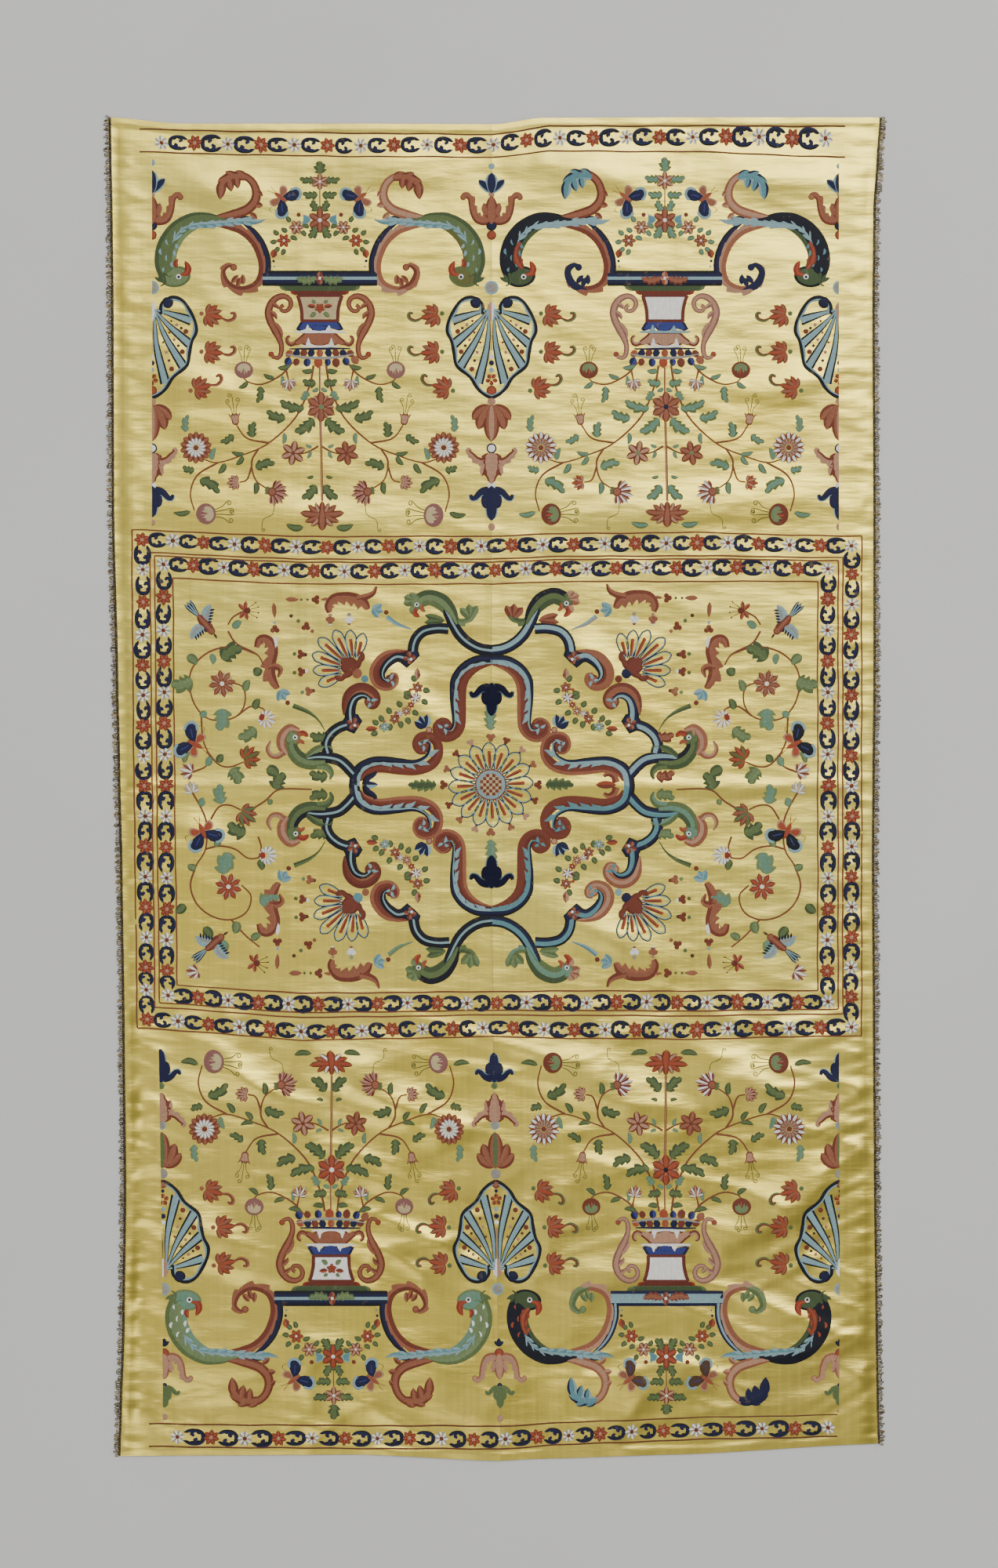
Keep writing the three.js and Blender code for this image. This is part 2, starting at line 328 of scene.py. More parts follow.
def swell(t, peak=0.45, full=1.0):
    """Width of a petal or leaf along its length, pointed where `full` is 1 or more."""
    t = np.clip(t, 0.002, 0.998)
    return (t / peak) ** (full * peak) * ((1 - t) / (1 - peak)) ** (full * (1 - peak))


def spread(value, count):
    """A width for each step: a number, a list of stops, or a function of the share."""
    share = np.linspace(0, 1, count)
    if callable(value):
        return np.maximum(value(share), 0.05)
    if np.isscalar(value):
        return np.full(count, float(value))
    return np.maximum(np.interp(share, np.linspace(0, 1, len(value)), value), 0.05)


class Silk:
    """Stitched shapes of one piece, gathered flat before they are laid on the cloth."""

    def __init__(self, seed=0):
        self.places, self.corners, self.sides, self.tints, self.grain = [], [], [], [], []
        self.count = 0
        self.rng = np.random.default_rng(SEED + seed)

    def dye(self, tone):
        """The colour of a silk, each skein a little lighter or darker."""
        colour = np.array(linear(SILKS[tone]))
        colour[:3] *= 1.0 + 0.16 * (self.rng.random() - 0.5)
        return colour

    def add(self, places, faces, tones, grain, mirrored):
        """Takes in vertices, faces as lists of indices, a colour for each and the silk's run."""
        for face, tone in zip(faces, tones):
            ring = list(face)[::-1] if mirrored else list(face)
            self.corners.extend(index + self.count for index in ring)
            self.sides.append(len(ring))
            self.tints.append(tone)
            self.grain.extend(grain[index] for index in ring)
        self.places.append(places)
        self.count += len(places)

    def mesh(self, name):
        """The shapes as one flat mesh, in metres."""
        mesh = bpy.data.meshes.new(name)
        places = np.vstack(self.places)
        corners = np.array(self.corners, np.int32)
        sides = np.array(self.sides, np.int32)
        starts = np.concatenate([[0], np.cumsum(sides)[:-1]]).astype(np.int32)
        mesh.vertices.add(len(places))
        mesh.vertices.foreach_set("co", places.astype(np.float32).ravel())
        mesh.loops.add(len(corners))
        mesh.loops.foreach_set("vertex_index", corners)
        mesh.polygons.add(len(sides))
        mesh.polygons.foreach_set("loop_start", starts)
        mesh.update(calc_edges=True)
        thread = mesh.color_attributes.new("thread", "FLOAT_COLOR", "CORNER")
        thread.data.foreach_set("color", np.repeat(np.array(self.tints), sides,
                                                   axis=0).astype(np.float32).ravel())
        run = mesh.uv_layers.new(name="stitch")
        run.data.foreach_set("uv", np.array(self.grain, np.float32).ravel())
        mesh.validate()
        return mesh


def divided(outline, longest):
    """A closed outline with points added along each edge that is longer than asked."""
    points = []
    for start, end in zip(outline, np.roll(outline, -1, axis=0)):
        count = max(1, math.ceil(np.hypot(*(end - start)) / longest))
        points += [start + (end - start) * i / count for i in range(count)]
    return np.array(points)


class Pen:
    """Draws stitched shapes from a place, turn and size on the pattern, in squares."""

    def __init__(self, silk, frame=None, over=0.0):
        self.silk = silk
        self.frame = np.eye(3) if frame is None else frame
        self.over = over

    def at(self, x=0.0, y=0.0, turn=0.0, size=1.0, flip=False, over=0.0):
        """A pen at a place, turned by degrees; `flip` mirrors left and right first."""
        c, s = math.cos(math.radians(turn)) * size, math.sin(math.radians(turn)) * size
        side = -1.0 if flip else 1.0
        move = np.array([[c * side, -s, x], [s * side, c, y], [0, 0, 1]])
        return Pen(self.silk, self.frame @ move, self.over + over)

    def both(self):
        """This pen and its mirror image to the left and right of its y axis."""
        return self, self.at(flip=True)

    def twins(self):
        """This pen and its mirror image on the other side of its x axis."""
        return self, self.at(turn=180, flip=True)

    def put(self, flat, rise, faces, tones, grain):
        """Hands shapes over in metres; `rise` is in millimetres above the cloth."""
        turned = flat @ self.frame[:2, :2].T + self.frame[:2, 2]
        size = math.sqrt(abs(np.linalg.det(self.frame[:2, :2])))
        high = (rise * min(1.0, 0.5 + 0.5 * size) + self.over) / 1000
        places = np.column_stack([turned * SQUARE, high])
        self.silk.add(places, faces, tones, grain, np.linalg.det(self.frame[:2, :2]) < 0)

    def band(self, line, half, tones, rise=0.6, right=None):
        """A domed strip along a line; `tones` run from its left side to its right side."""
        line = np.asarray(line, float)
        count = len(line)
        step = np.gradient(line, axis=0)
        step /= np.maximum(np.hypot(step[:, 0], step[:, 1])[:, None], 1e-9)
        normal = np.column_stack([-step[:, 1], step[:, 0]])
        left = spread(half, count)
        right = left if right is None else spread(right, count)
        tones = [tones] * 2 if isinstance(tones, str) else list(tones)
        tones = tones * 2 if len(tones) == 1 else tones
        lanes = len(tones)
        s = np.linspace(-1, 1, lanes + 1)
        reach = np.where(s[None, :] < 0, s[None, :] * right[:, None], s[None, :] * left[:, None])
        flat = (line[:, None, :] + normal[:, None, :] * reach[:, :, None]).reshape(-1, 2)
        crown = np.minimum(rise, 0.9 * (left + right) / 2)
        high = (crown[:, None] * np.sqrt(np.maximum(1 - s[None, :] ** 2, 0))).ravel()
        run = np.concatenate([[0], np.cumsum(np.hypot(*np.diff(line, axis=0).T))]) * SQUARE
        grain = np.column_stack([np.repeat(run, lanes + 1), (reach * SQUARE).ravel()]).tolist()
        width = lanes + 1
        faces, colours = [], []
        dyed = [self.silk.dye(tone) for tone in reversed(tones)]
        for i in range(count - 1):
            a, b = i * width, (i + 1) * width
            for j in range(lanes):
                faces.append((a + j, b + j, b + j + 1, a + j + 1))
                colours.append(dyed[j])
            faces.append((a, a + lanes, b + lanes, b))
            colours.append(dyed[0])
        faces.append(tuple(range(width)))
        faces.append(tuple(range((count - 1) * width, count * width))[::-1])
        colours += [dyed[0], dyed[0]]
        self.put(flat, high, faces, colours, grain)

    def blade(self, line, half, tones, peak=0.45, full=1.0, rise=0.6):
        """A petal, leaf or feather: a strip that swells and comes to a point."""
        self.band(line, lambda t: half * swell(t, peak, full), tones, rise)

    def patch(self, outline, tones, rise=0.6, inset=0.78, centre=None):
        """A domed shape inside an outline, with an edge tone and a filling tone."""
        outline = np.asarray(outline, float)
        x, y = outline.T
        if np.dot(x, np.roll(y, -1)) < np.dot(np.roll(x, -1), y):
            outline = outline[::-1]
        centre = outline.mean(axis=0) if centre is None else np.array(centre, float)
        outline = divided(outline, PATCH_STEP)
        count = len(outline)
        reach = np.hypot(*(outline - centre).T).max() * inset
        rings = max(2, math.ceil(reach / PATCH_STEP))
        shares = [1] + [inset * (1 - i / rings) for i in range(rings)]
        flat = np.vstack([centre + (outline - centre) * share for share in shares] + [centre[None, :]])
        high = np.repeat([0, rise * 0.75] + [rise] * (rings - 1), count)
        high = np.append(high, rise)
        tones = (tones, tones) if isinstance(tones, str) else tones
        edge, fill = self.silk.dye(tones[0]), self.silk.dye(tones[1])
        faces, colours = [], []
        for i in range(count):
            k = (i + 1) % count
            for ring in range(rings):
                low, top = ring * count, (ring + 1) * count
                faces.append((low + i, low + k, top + k, top + i))
                colours.append(fill if ring else edge)
            faces.append((rings * count + i, rings * count + k, (rings + 1) * count))
            colours.append(fill)
        self.put(flat, high, faces, colours, (flat * SQUARE).tolist())

    def disc(self, x, y, radius, tones, rise=0.6, sides=10, inset=0.72):
        """A round knot or bead."""
        self.patch(arc(x, y, radius, 0, 360 - 360 / sides, 2 * math.pi * radius / sides), tones, rise, inset)

    def beads(self, *rows):
        """Round beads, a row for each: x, y, radius, tone."""
        for x, y, radius, tone in rows:
            self.disc(x, y, radius, tone, sides=9)


# Motifs. Each grows along its pen's x axis, or stands about its pen's place.
def leaf(pen, length=20, half=5, tones=("green", "sage"), lobes=0, bend=0.12):
    """A leaf with a dark and a light side and a stitched vein, plain or with pointed lobes."""
    points = [(0, 0), (length * 0.5, length * bend), (length, 0)]
    teeth = max(2, lobes - 1)
    line = through(points, length / (teeth * 7 + 3 if lobes else 8))

    def width(lag):
        def barbed(t):
            if not lobes:
                return 1.1 * half * swell(t, 0.42, 1.2)
            tooth = (t * (teeth + 0.45) + lag) % 1.0
            return 1.12 * half * swell(t, 0.42, 0.9) * (0.5 + 0.66 * tooth ** 0.7)
        return barbed
    dark, light = tones
    pen.band(line, width(0.1), (dark, light, light, dark), 0.55, width(0.45))
    if length > 13:
        pen.at(over=0.3).band(line[1:-2], 0.35, "olive" if dark == "moss" else "moss", 0.3)


def petals(pen, count, inner, outer, half, tones, peak=0.6, full=1.7, turn=0.0, steps=6):
    """Petals all round the pen's place."""
    gap = 360 / count
    line = np.linspace((inner, 0), (outer, 0), steps)
    for index in range(count):
        pen.at(turn=turn + index * gap).blade(line, half, tones, peak, full)


def barbs(pen, line, length, half, tone, every=5, lean=26):
    """Small points along both sides of a line, swept back towards its start."""
    for index in range(every, len(line) - 2, every):
        ahead = line[index] - line[index - 1]
        heading = bearing(*ahead)
        for side in (1, -1):
            reach = length * (1.0 if (index // every) % 2 else 0.74)
            p = pen.at(*line[index], turn=heading + 180 + side * lean)
            p.blade(rod(-3, reach, 6), half, tone, 0.4, 1.2, 0.4)


def blossom(pen, radius=18, count=6, edge="brick", fill="salmon", heart="white", back=None):
    """An open flower: pointed petals with a darker outline about a heart."""
    half = radius * 0.51 * math.tan(math.pi / count)
    if back:
        petals(pen, count, radius * 0.3, radius * 0.88, half * 0.62, back, 0.55, 1.3, turn=180 / count)
    petals(pen.at(over=0.2), count, radius * 0.08, radius * 1.05, half, (edge, fill, fill, edge), 0.5, 1.5,
           steps=8)
    over = pen.at(over=0.45)
    over.disc(0, 0, radius * 0.18, heart, sides=8)
    if radius > 12:
        for turn in range(0, 360, 360 // count):
            over.at(turn=turn).disc(radius * 0.31, 0, radius * 0.055, "cream", 0.3, 5)


def volute_heart(pen, x, y, turn, flame):
    """The small flames about the eye of a volute."""
    heart = pen.at(x, y, turn=turn, over=1.0)
    for lean, reach in ((0, 10), (100, 7), (230, 9)):
        heart.at(turn=lean).blade(through([(1, 0), (reach / 2, 1.6), (reach, 0.4)], 2.2), 2.0, flame, 0.35,
                                  1.5)


def daisy(pen, radius=16, count=14, petal="white", edge="brick", heart="red"):
    """A many-petalled flower seen half from its side, its longest petals along x."""
    for index in range(count):
        lean = 360 * index / count
        reach = radius * (0.84 + 0.3 * math.cos(math.radians(lean)))
        p = pen.at(turn=lean, over=0.02 * (index % 2))
        p.blade(rod(radius * 0.2, reach, 6), radius * 0.17, (edge, petal, petal), 0.6, 1.5)
    pen.at(over=0.35).patch(arc(-1, 0, 1, 0, 330, 0.5) * np.array([radius * 0.26, radius * 0.36]),
                            (heart, heart), 0.5)


def chrysanthemum(pen, edge="brick", fill="salmon", inner="white", heart="brick"):
    """A double flower: a ring of long petals about a ring of short ones."""
    petals(pen, 14, 7, 20.5, 3.7, (edge, fill, fill, edge), 0.66, 1.3)
    petals(pen.at(over=0.35), 14, 3, 13.5, 2.1, ("grey", inner, inner), 0.6, 1.8)
    pen.at(over=0.6).disc(0, 0, 3.4, heart)


def fan_daisy(pen, petal="white", edge="maroon", base="brick"):
    """A flower seen from its side, its petals thrown forward."""
    for index in range(11):
        lean = -78 + 156 * index / 10
        reach = 21 - 5 * abs(lean) / 78 + 2 * (index % 2)
        tones = (edge, petal, petal) if index % 2 else (edge, edge, "pink")
        pen.at(turn=lean, over=0.02 * index).blade(rod(4, reach, 6), 2.5, tones, 0.6, 1.5)
    pen.at(over=0.5).disc(1, 0, 6, (base, "salmon"))
    for turn in (150, 180, 210):
        pen.at(turn=turn, over=0.3).blade(rod(2, 9, 4), 2.4, "green", 0.5, 1.4)


def lotus(pen, edge="brick", fill="salmon", tips="cream"):
    """An open lotus: long dark petals to both sides, short ones between, a broad one in the middle."""
    rows = ((146, 15, 3.0, tips), (118, 20, 3.4, fill), (38, 20, 3.4, tips), (62, 23, 3.6, fill),
            (90, 27, 4.4, fill))
    for turn, length, half, tone in rows:
        for side in (1, -1):
            p = pen.at(0, side, turn=side * turn, over=0.004 * turn if turn < 100 else 0)
            line = through([(0, 0), (length * 0.5, -1.0 * side), (length, 1.2 * side)], 3)
            p.blade(line, half, (edge, tone, tone, edge), 0.55, 1.4)
    pen.at(over=0.4).blade(rod(-15, 3, 7), 4.2, (edge, fill, edge), 0.5, 1.5)
    pen.at(over=0.55).blade(rod(-7, 20, 11), 6.4, (edge, fill, fill, edge), 0.55, 1.2)


def bud(pen, edge="brick", fill="salmon", core="pink", size=1.0):
    """A half-open bud: pointed petals about a long one."""
    pen = pen.at(size=size)
    for turn, length, half, tone in ((76, 15, 3.4, fill), (46, 20, 3.8, core), (22, 23, 3.6, fill)):
        for side in (1, -1):
            p = pen.at(0, side, turn=side * turn, over=0.3 - turn / 300)
            p.blade(rod(0, length, 7), half, (edge, tone, tone, edge), 0.55, 1.6)
    pen.at(over=0.4).blade(rod(0, 25, 8), 4.6, (edge, core, core, edge), 0.5, 1.5)


def tendril(pen, points, half=0.45, tone="olive", curl=3.0):
    """A thin curling line that ends in a small coil."""
    line = through(points, 2.2)
    ahead = line[-1] - line[-2]
    heading = bearing(*ahead)
    side = 1 if curl > 0 else -1
    size = abs(curl)
    base = heading - 90 * side
    centre = line[-1] + np.array([math.cos(math.radians(heading + 90 * side)),
                                  math.sin(math.radians(heading + 90 * side))]) * size
    coil = arc(centre[0], centre[1], size, base, base + side * 400, size * 0.5, size * 0.35)
    pen.band(np.vstack([line, coil[1:]]), half, tone, 0.4)


def tulip(pen, tone="brick", fill="salmon", whiskers=3):
    """A bell flower with a notched rim and curling stamens."""
    half = [(0, 2.6), (3, 4.6), (8, 5.0), (12, 6.6), (16, 8.6), (13.4, 4.6), (16.4, 2.6), (14, 0)]
    whole = half + [(x, -y) for x, y in half[-2::-1]]
    pen.patch(whole, (tone, fill), 0.6, 0.74, (7, 0))
    for index in range(whiskers):
        side = index - (whiskers - 1) / 2
        reach = 40 - 9 * abs(side)
        tendril(pen, [(13, side * 2), (24, side * 4), (reach, side * 9)], curl=-3 if side > 0 else 3)


def pomegranate(pen, rim="brick", fill="mauve", core="green", whiskers=4):
    """A split fruit, its open side along x and its rind toothed inside, with curling threads."""
    pen.patch(arc(0, 0, 1, 0, 342, 0.31) * np.array([12.8, 14.0]), (rim, rim), 0.5, 0.88)
    mouth = [(9.8, 0), (8.8, 5.2), (5.8, 9.0), (0.8, 10.0), (-2.5, 7.6), (-0.4, 5.2), (-5.4, 4.2),
             (-1.2, 1.8),
             (-6.2, -0.4), (-1.0, -2.4), (-5.2, -5), (-0.2, -6), (-1.6, -8.6), (1.8, -10), (5.8, -9),
             (8.8, -5.2)]
    pen.at(over=0.6).patch(mouth, (core, core), 0.2, 0.86, (4, 0))
    pen.at(over=0.75).blade(rod(-7, 3, 6), 2.4, (rim, fill), 0.3, 1.3)
    for index in range(whiskers):
        side = index - (whiskers - 1) / 2
        tendril(pen, [(11, side * 3), (21, side * 5), (34 - 4 * abs(side), side * 9)], 0.55,
                curl=3.4 if side < 0 else -3.4)


def stamen_flower(pen, petal="red", heart="rust"):
    """A small flower that throws out knotted stamens."""
    for turn in (80, -80, 130, -130):
        pen.at(turn=turn).blade(rod(0, 12, 5), 2.6, (petal, "salmon"), 0.6)
    for turn in (-34, -12, 12, 34):
        p = pen.at(turn=turn)
        p.band(rod(4, 17, 4), 0.35, "brown", 0.3)
        p.disc(17.5, 0, 1.1, "brown", sides=6)
    pen.at(over=0.3).disc(3, 0, 4.2, heart)


def trefoil(pen, tone="brick", size=1.0):
    """Three lobes together."""
    for x, y in ((0, 2.6), (0, -2.6), (-3.6, 0)):
        pen.disc(x * size, y * size, 3.0 * size, tone, sides=8)


def drop(pen, length, half, tone, peak=0.6):
    """A drop that grows along x."""
    pen.blade(rod(0, length, 5), half, tone, peak)


def butterfly(pen, wing="navy", trim="sky", body="salmon"):
    """A butterfly with its wings half spread and a dotted trail."""
    fore = [(0, -1.5), (0, 1.5), (7, 6), (14, 10), (21, 11.6), (25.5, 9), (27, 3.5), (25, -1.5), (21, -5),
            (14, -6), (6, -4)]
    hind = [(x * 0.64, y * 0.72) for x, y in fore]
    for turn, side in ((86, 1), (2, -1)):
        own = pen.at(1, 1, turn=turn)
        own.patch([(x, y * side) for x, y in fore], (wing, wing), 0.6, 0.8, (14, 2 * side))
        own.at(over=0.3).band(through([(x, y * side) for x, y in fore[3:9]], 2), 1.8, (trim, trim), 0.5)
        own.at(over=0.6).band(np.linspace((8, side), (19, 3 * side), 4), 0.7, "blue", 0.3)
    for turn, side in ((140, 1), (-52, -1)):
        pen.at(turn=turn, over=-0.1).patch([(x, y * side) for x, y in hind], ("pink", body), 0.5, 0.7,
                                           (9, side))
    pen.at(over=0.7).blade(np.linspace((-8, -7), (8, 8), 7), 3.0, (body, "orange", body), 0.4, 1.0)
    for turn in (206, 240):
        reach = (-6 + 13 * math.cos(math.radians(turn)), -5 + 13 * math.sin(math.radians(turn)))
        pen.band(through([(-6, -5), reach]), 0.4, body, 0.25)
    for index in range(9):
        t = index / 8
        pen.disc(8 + 13 * t, -9 - 9 * math.sin(3 * t), 0.8, "olive", 0.3, 6)


def bird(pen, body="brick", wing="navy", trim="sky"):
    """A small flying bird, head along x."""
    for turn, length, half in ((126, 27, 6.5), (-92, 27, 6.5)):
        p = pen.at(3, 0, turn=turn)
        side = 1 if turn > 0 else -1
        p.blade(through([(0, 0), (length * 0.5, 4 * side), (length, 0)], 4), half,
                (trim, trim, "grey", trim), 0.45, 1.3)
        for k in range(5):
            p.at(4 + k * 3.8, 0.5 * side, turn=-side * 68, over=0.4).blade(rod(0, 7, 4), 1.3, wing, 0.5)
    for turn in (170, 180, 190):
        p = pen.at(-9, 0, turn=turn)
        p.blade(rod(0, 26, 6), 2.2, (wing, trim, wing), 0.7, 0.9)
    pen.at(over=0.3).blade(rod(-15, 15, 10), 6.4, (body, "salmon", body), 0.55, 1.0)
    pen.at(over=0.45).disc(12, 0, 4.8, (body, "salmon"))
    pen.at(16, 0, over=0.3).blade(np.linspace((0, 0), (8, -1), 4), 1.7, "brown", 0.4, 1.6)


def link(pen, kind=0):
    """A scrolled link of the borders: two tapering arms from a thick back, open along x."""
    for side in (1, -1):
        line = through([(-11.5, -1.5 * side), (-10.5, 3.5 * side), (-6, 7.2 * side), (1, 8.4 * side),
                        (7, 7.6 * side), (12.5, 5 * side)], 2.6)
        bumps = [2.4, 3.8, 2.2, 4.5, 2.2, 4.2, 2.2, 3.0, 0.3]
        plain = [1.6, 2.1, 2.3, 2.3, 2.2, 2.0, 1.8, 1.4, 0.3]
        left, right = (plain, bumps) if side > 0 else (bumps, plain)
        pen.band(line, left, ("navy", "ink"), 0.6, right)
        hook = (3.5 - 5 * kind) if side > 0 else (-2.5 + 5 * kind)
        curl = through([(hook, 7 * side), (hook + 0.6, 3.6 * side), (hook - 2.4, 1.6 * side)], 2)
        pen.band(curl, [2.0, 2.4, 1.5], "navy", 0.5)


def border_flower(pen, kind):
    """A flower of the borders, white or red."""
    if kind == 0:
        petals(pen, 7, 1.8, 9.6, 2.5, ("grey", "white"), 0.62, 1.2, steps=5)
        pen.at(over=0.35).disc(0, 0, 2.8, "rust", sides=7)
    else:
        petals(pen, 7, 1.0, 10.8, 3.1, ("brick", "orange", "brick"), 0.48, 1.6, steps=5)
        pen.at(over=0.35).disc(0, 0, 2.5, "pink", sides=7)


# Nodes that repeat motifs along lines
class Tree:
    """A node tree that is built up by one method."""

    def __init__(self, tree):
        self.tree = tree

    def node(self, kind, settings=None, inputs=None, out=0):
        """Adds a node, sets it, fills or links its sockets and gives one output."""
        made = self.tree.nodes.new(kind)
        settings = dict(settings or {})
        stops = settings.pop("stops", None)
        for key, value in settings.items():
            setattr(made, key, value)
        if stops:
            ramp = made.color_ramp
            while len(ramp.elements) < len(stops):
                ramp.elements.new(0.5)
            for element, (place, colour) in zip(ramp.elements, stops):
                element.position, element.color = place, colour
        for key, value in (inputs or {}).items():
            socket = made.inputs[key]
            if isinstance(value, Wire):
                self.tree.links.new(value.socket, socket)
            elif isinstance(value, bpy.types.NodeSocket):
                self.tree.links.new(value, socket)
            else:
                socket.default_value = value
        return Wire(self, made.outputs[out]) if made.outputs else made


class Wire:
    """A socket that takes part in plain arithmetic."""

    def __init__(self, tree, socket):
        self.tree, self.socket = tree, socket

    def math(self, kind, a, b=0.0):
        return self.tree.node("ShaderNodeMath", {"operation": kind}, {0: a, 1: b})

    def __add__(self, other):
        return self.math("ADD", self, other)

    def __sub__(self, other):
        return self.math("SUBTRACT", self, other)

    def __mul__(self, other):
        return self.math("MULTIPLY", self, other)

    def __rsub__(self, other):
        return self.math("SUBTRACT", other, self)

    def __mod__(self, other):
        return self.math("MODULO", self, other)

    __radd__ = __add__
    __rmul__ = __mul__


def blank_tree(name, sizes):
    """An empty geometry tree with a curve input, named sizes and a geometry output."""
    tree = bpy.data.node_groups.new(name, "GeometryNodeTree")
    face = tree.interface
    face.new_socket("Geometry", in_out="INPUT", socket_type="NodeSocketGeometry")
    for label, kind in sizes.items():
        face.new_socket(label, in_out="INPUT", socket_type=kind)
    face.new_socket("Geometry", in_out="OUTPUT", socket_type="NodeSocketGeometry")
    given = tree.nodes.new("NodeGroupInput")
    end = tree.nodes.new("NodeGroupOutput")
    return Tree(tree), given.outputs, end.inputs


def finish_tree(tree, geometry, end, material):
    """Makes the instances real, gives them their material and ends the tree."""
    real = tree.node("GeometryNodeRealizeInstances", None, {"Geometry": geometry})
    dressed = tree.node("GeometryNodeSetMaterial", None, {"Geometry": real, "Material": material})
    tree.tree.links.new(dressed.socket, end["Geometry"])


def chain_tree(material):
    """Flowers and links in turn along a line: flower, link, other flower, other link."""
    tree, given, end = blank_tree("border_chain", {
        "Places": "NodeSocketInt", "First": "NodeSocketInt", "Turned Before": "NodeSocketInt",
        "White Flower": "NodeSocketObject", "Link": "NodeSocketObject",
        "Red Flower": "NodeSocketObject", "Other Link": "NodeSocketObject"})
    points = tree.node("GeometryNodeCurveToPoints", {"mode": "COUNT"},
                       {"Curve": given["Geometry"], "Count": given["Places"]})
    tangent = Wire(tree, points.socket.node.outputs["Tangent"])
    index = tree.node("GeometryNodeInputIndex")
    order = (index + Wire(tree, given["First"])) % 4.0
    along = tree.node("FunctionNodeAlignRotationToVector", {"axis": "X", "pivot_axis": "Z"},
                      {"Vector": tangent})
    before = tree.node("ShaderNodeMath", {"operation": "LESS_THAN"},
                       {0: index, 1: Wire(tree, given["Turned Before"])})
    parts = []
    for kind, label in enumerate(("White Flower", "Link", "Red Flower", "Other Link")):
        motif = tree.node("GeometryNodeObjectInfo", None, {"Object": given[label]}, "Geometry")
        chosen = tree.node("FunctionNodeCompare", {"data_type": "FLOAT", "operation": "EQUAL"},
                           {0: order, 1: float(kind), "Epsilon": 0.1})
        flower = kind % 2 == 0
        swing = 3.0 if flower else 0.09
        jitter = tree.node("FunctionNodeRandomValue", {"data_type": "FLOAT"},
                           {2: -swing, 3: swing, "Seed": 11 + kind}, 1)
        jitter = jitter if flower else jitter + before * math.pi
        turn = tree.node("ShaderNodeCombineXYZ", None, {"Z": jitter})
        turned = tree.node("FunctionNodeRotateRotation", {"rotation_space": "LOCAL"}, {
            "Rotation": along, "Rotate By": tree.node("FunctionNodeEulerToRotation", None, {0: turn})})
        scale = tree.node("FunctionNodeRandomValue", {"data_type": "FLOAT_VECTOR"},
                          {0: (0.88, 0.88, 1.0), 1: (1.08, 1.1, 1.0), "Seed": 23 + kind})
        parts.append(tree.node("GeometryNodeInstanceOnPoints", None, {
            "Points": points, "Selection": chosen, "Instance": motif, "Rotation": turned, "Scale": scale}))
    return close_chain(tree, parts, end, material)


def close_chain(tree, parts, end, material):
    """Joins instances, gives each a tone of its own and ends the tree."""
    joined = tree.tree.nodes.new("GeometryNodeJoinGeometry")
    for part in parts:
        tree.tree.links.new(part.socket, joined.inputs[0])
    tone = tree.node("FunctionNodeRandomValue", {"data_type": "FLOAT"}, {2: 0.0, 3: 1.0, "Seed": 7}, 1)
    named = tree.node("GeometryNodeStoreNamedAttribute", {"data_type": "FLOAT", "domain": "INSTANCE"}, {
        "Geometry": Wire(tree, joined.outputs[0]), "Name": "tone", "Value": tone})
    finish_tree(tree, named, end, material)
    return tree.tree


def line_curve(name, lines):
    """Lines of points, in metres, as one curve object of straight pieces."""
    curve = bpy.data.curves.new(name, "CURVE")
    curve.dimensions = "3D"
    for line in lines:
        spline = curve.splines.new("POLY")
        spline.points.add(len(line) - 1)
        for point, place in zip(spline.points, line):
            point.co = (place[0], place[1], place[2] if len(place) > 2 else 0.0, 1.0)
    made = bpy.data.objects.new(name, curve)
    bpy.context.scene.collection.objects.link(made)
    return made


def grown(path, tree, sizes):
    """The mesh that a tree makes along a path; the path is removed."""
    bpy.context.view_layer.update()
    change = path.modifiers.new("grow", "NODES")
    change.node_group = tree
    for item in tree.interface.items_tree:
        if item.in_out == "INPUT" and item.name in sizes:
            change[item.identifier] = sizes[item.name]
    bpy.context.view_layer.update()
    graph = bpy.context.evaluated_depsgraph_get()
    mesh = bpy.data.meshes.new_from_object(path.evaluated_get(graph), depsgraph=graph)
    path.modifiers.remove(change)
    bpy.data.objects.remove(path)
    return mesh


def motif_object(name, draw):
    """A helper object for one repeated motif."""
    silk = Silk(len(name))
    draw(Pen(silk))
    made = bpy.data.objects.new(name, silk.mesh(name))
    bpy.context.scene.collection.objects.link(made)
    return made


# Materials
def new_material(name):
    """A material with its node tree and its shader."""
    material = bpy.data.materials.new(name)
    material.use_nodes = True
    tree = Tree(material.node_tree)
    shader = next(n for n in material.node_tree.nodes if n.type == "BSDF_PRINCIPLED")
    return material, tree, shader


def feed(tree, shader, **links):
    """Links values to a shader's sockets, named with low lines for their spaces."""
    for socket, value in links.items():
        tree.tree.links.new(value.socket, shader.inputs[socket.replace("_", " ")])


def mix(tree, share, a, b, blend="MIX"):
    """Two colours mixed by a share."""
    return tree.node("ShaderNodeMix", {"data_type": "RGBA", "blend_type": blend, "clamp_factor": True},
                     {0: share, 6: a, 7: b}, 2)


def noise(tree, vector, scale, detail=2.0, rough=0.5):
    """Smooth noise over a place."""
    return tree.node("ShaderNodeTexNoise", None,
                     {"Vector": vector, "Scale": scale, "Detail": detail, "Roughness": rough})


def stretched(tree, vector, scale):
    """A place with its axes stretched, so that noise over it runs in streaks."""
    return tree.node("ShaderNodeMapping", None, {"Vector": vector, "Scale": scale})


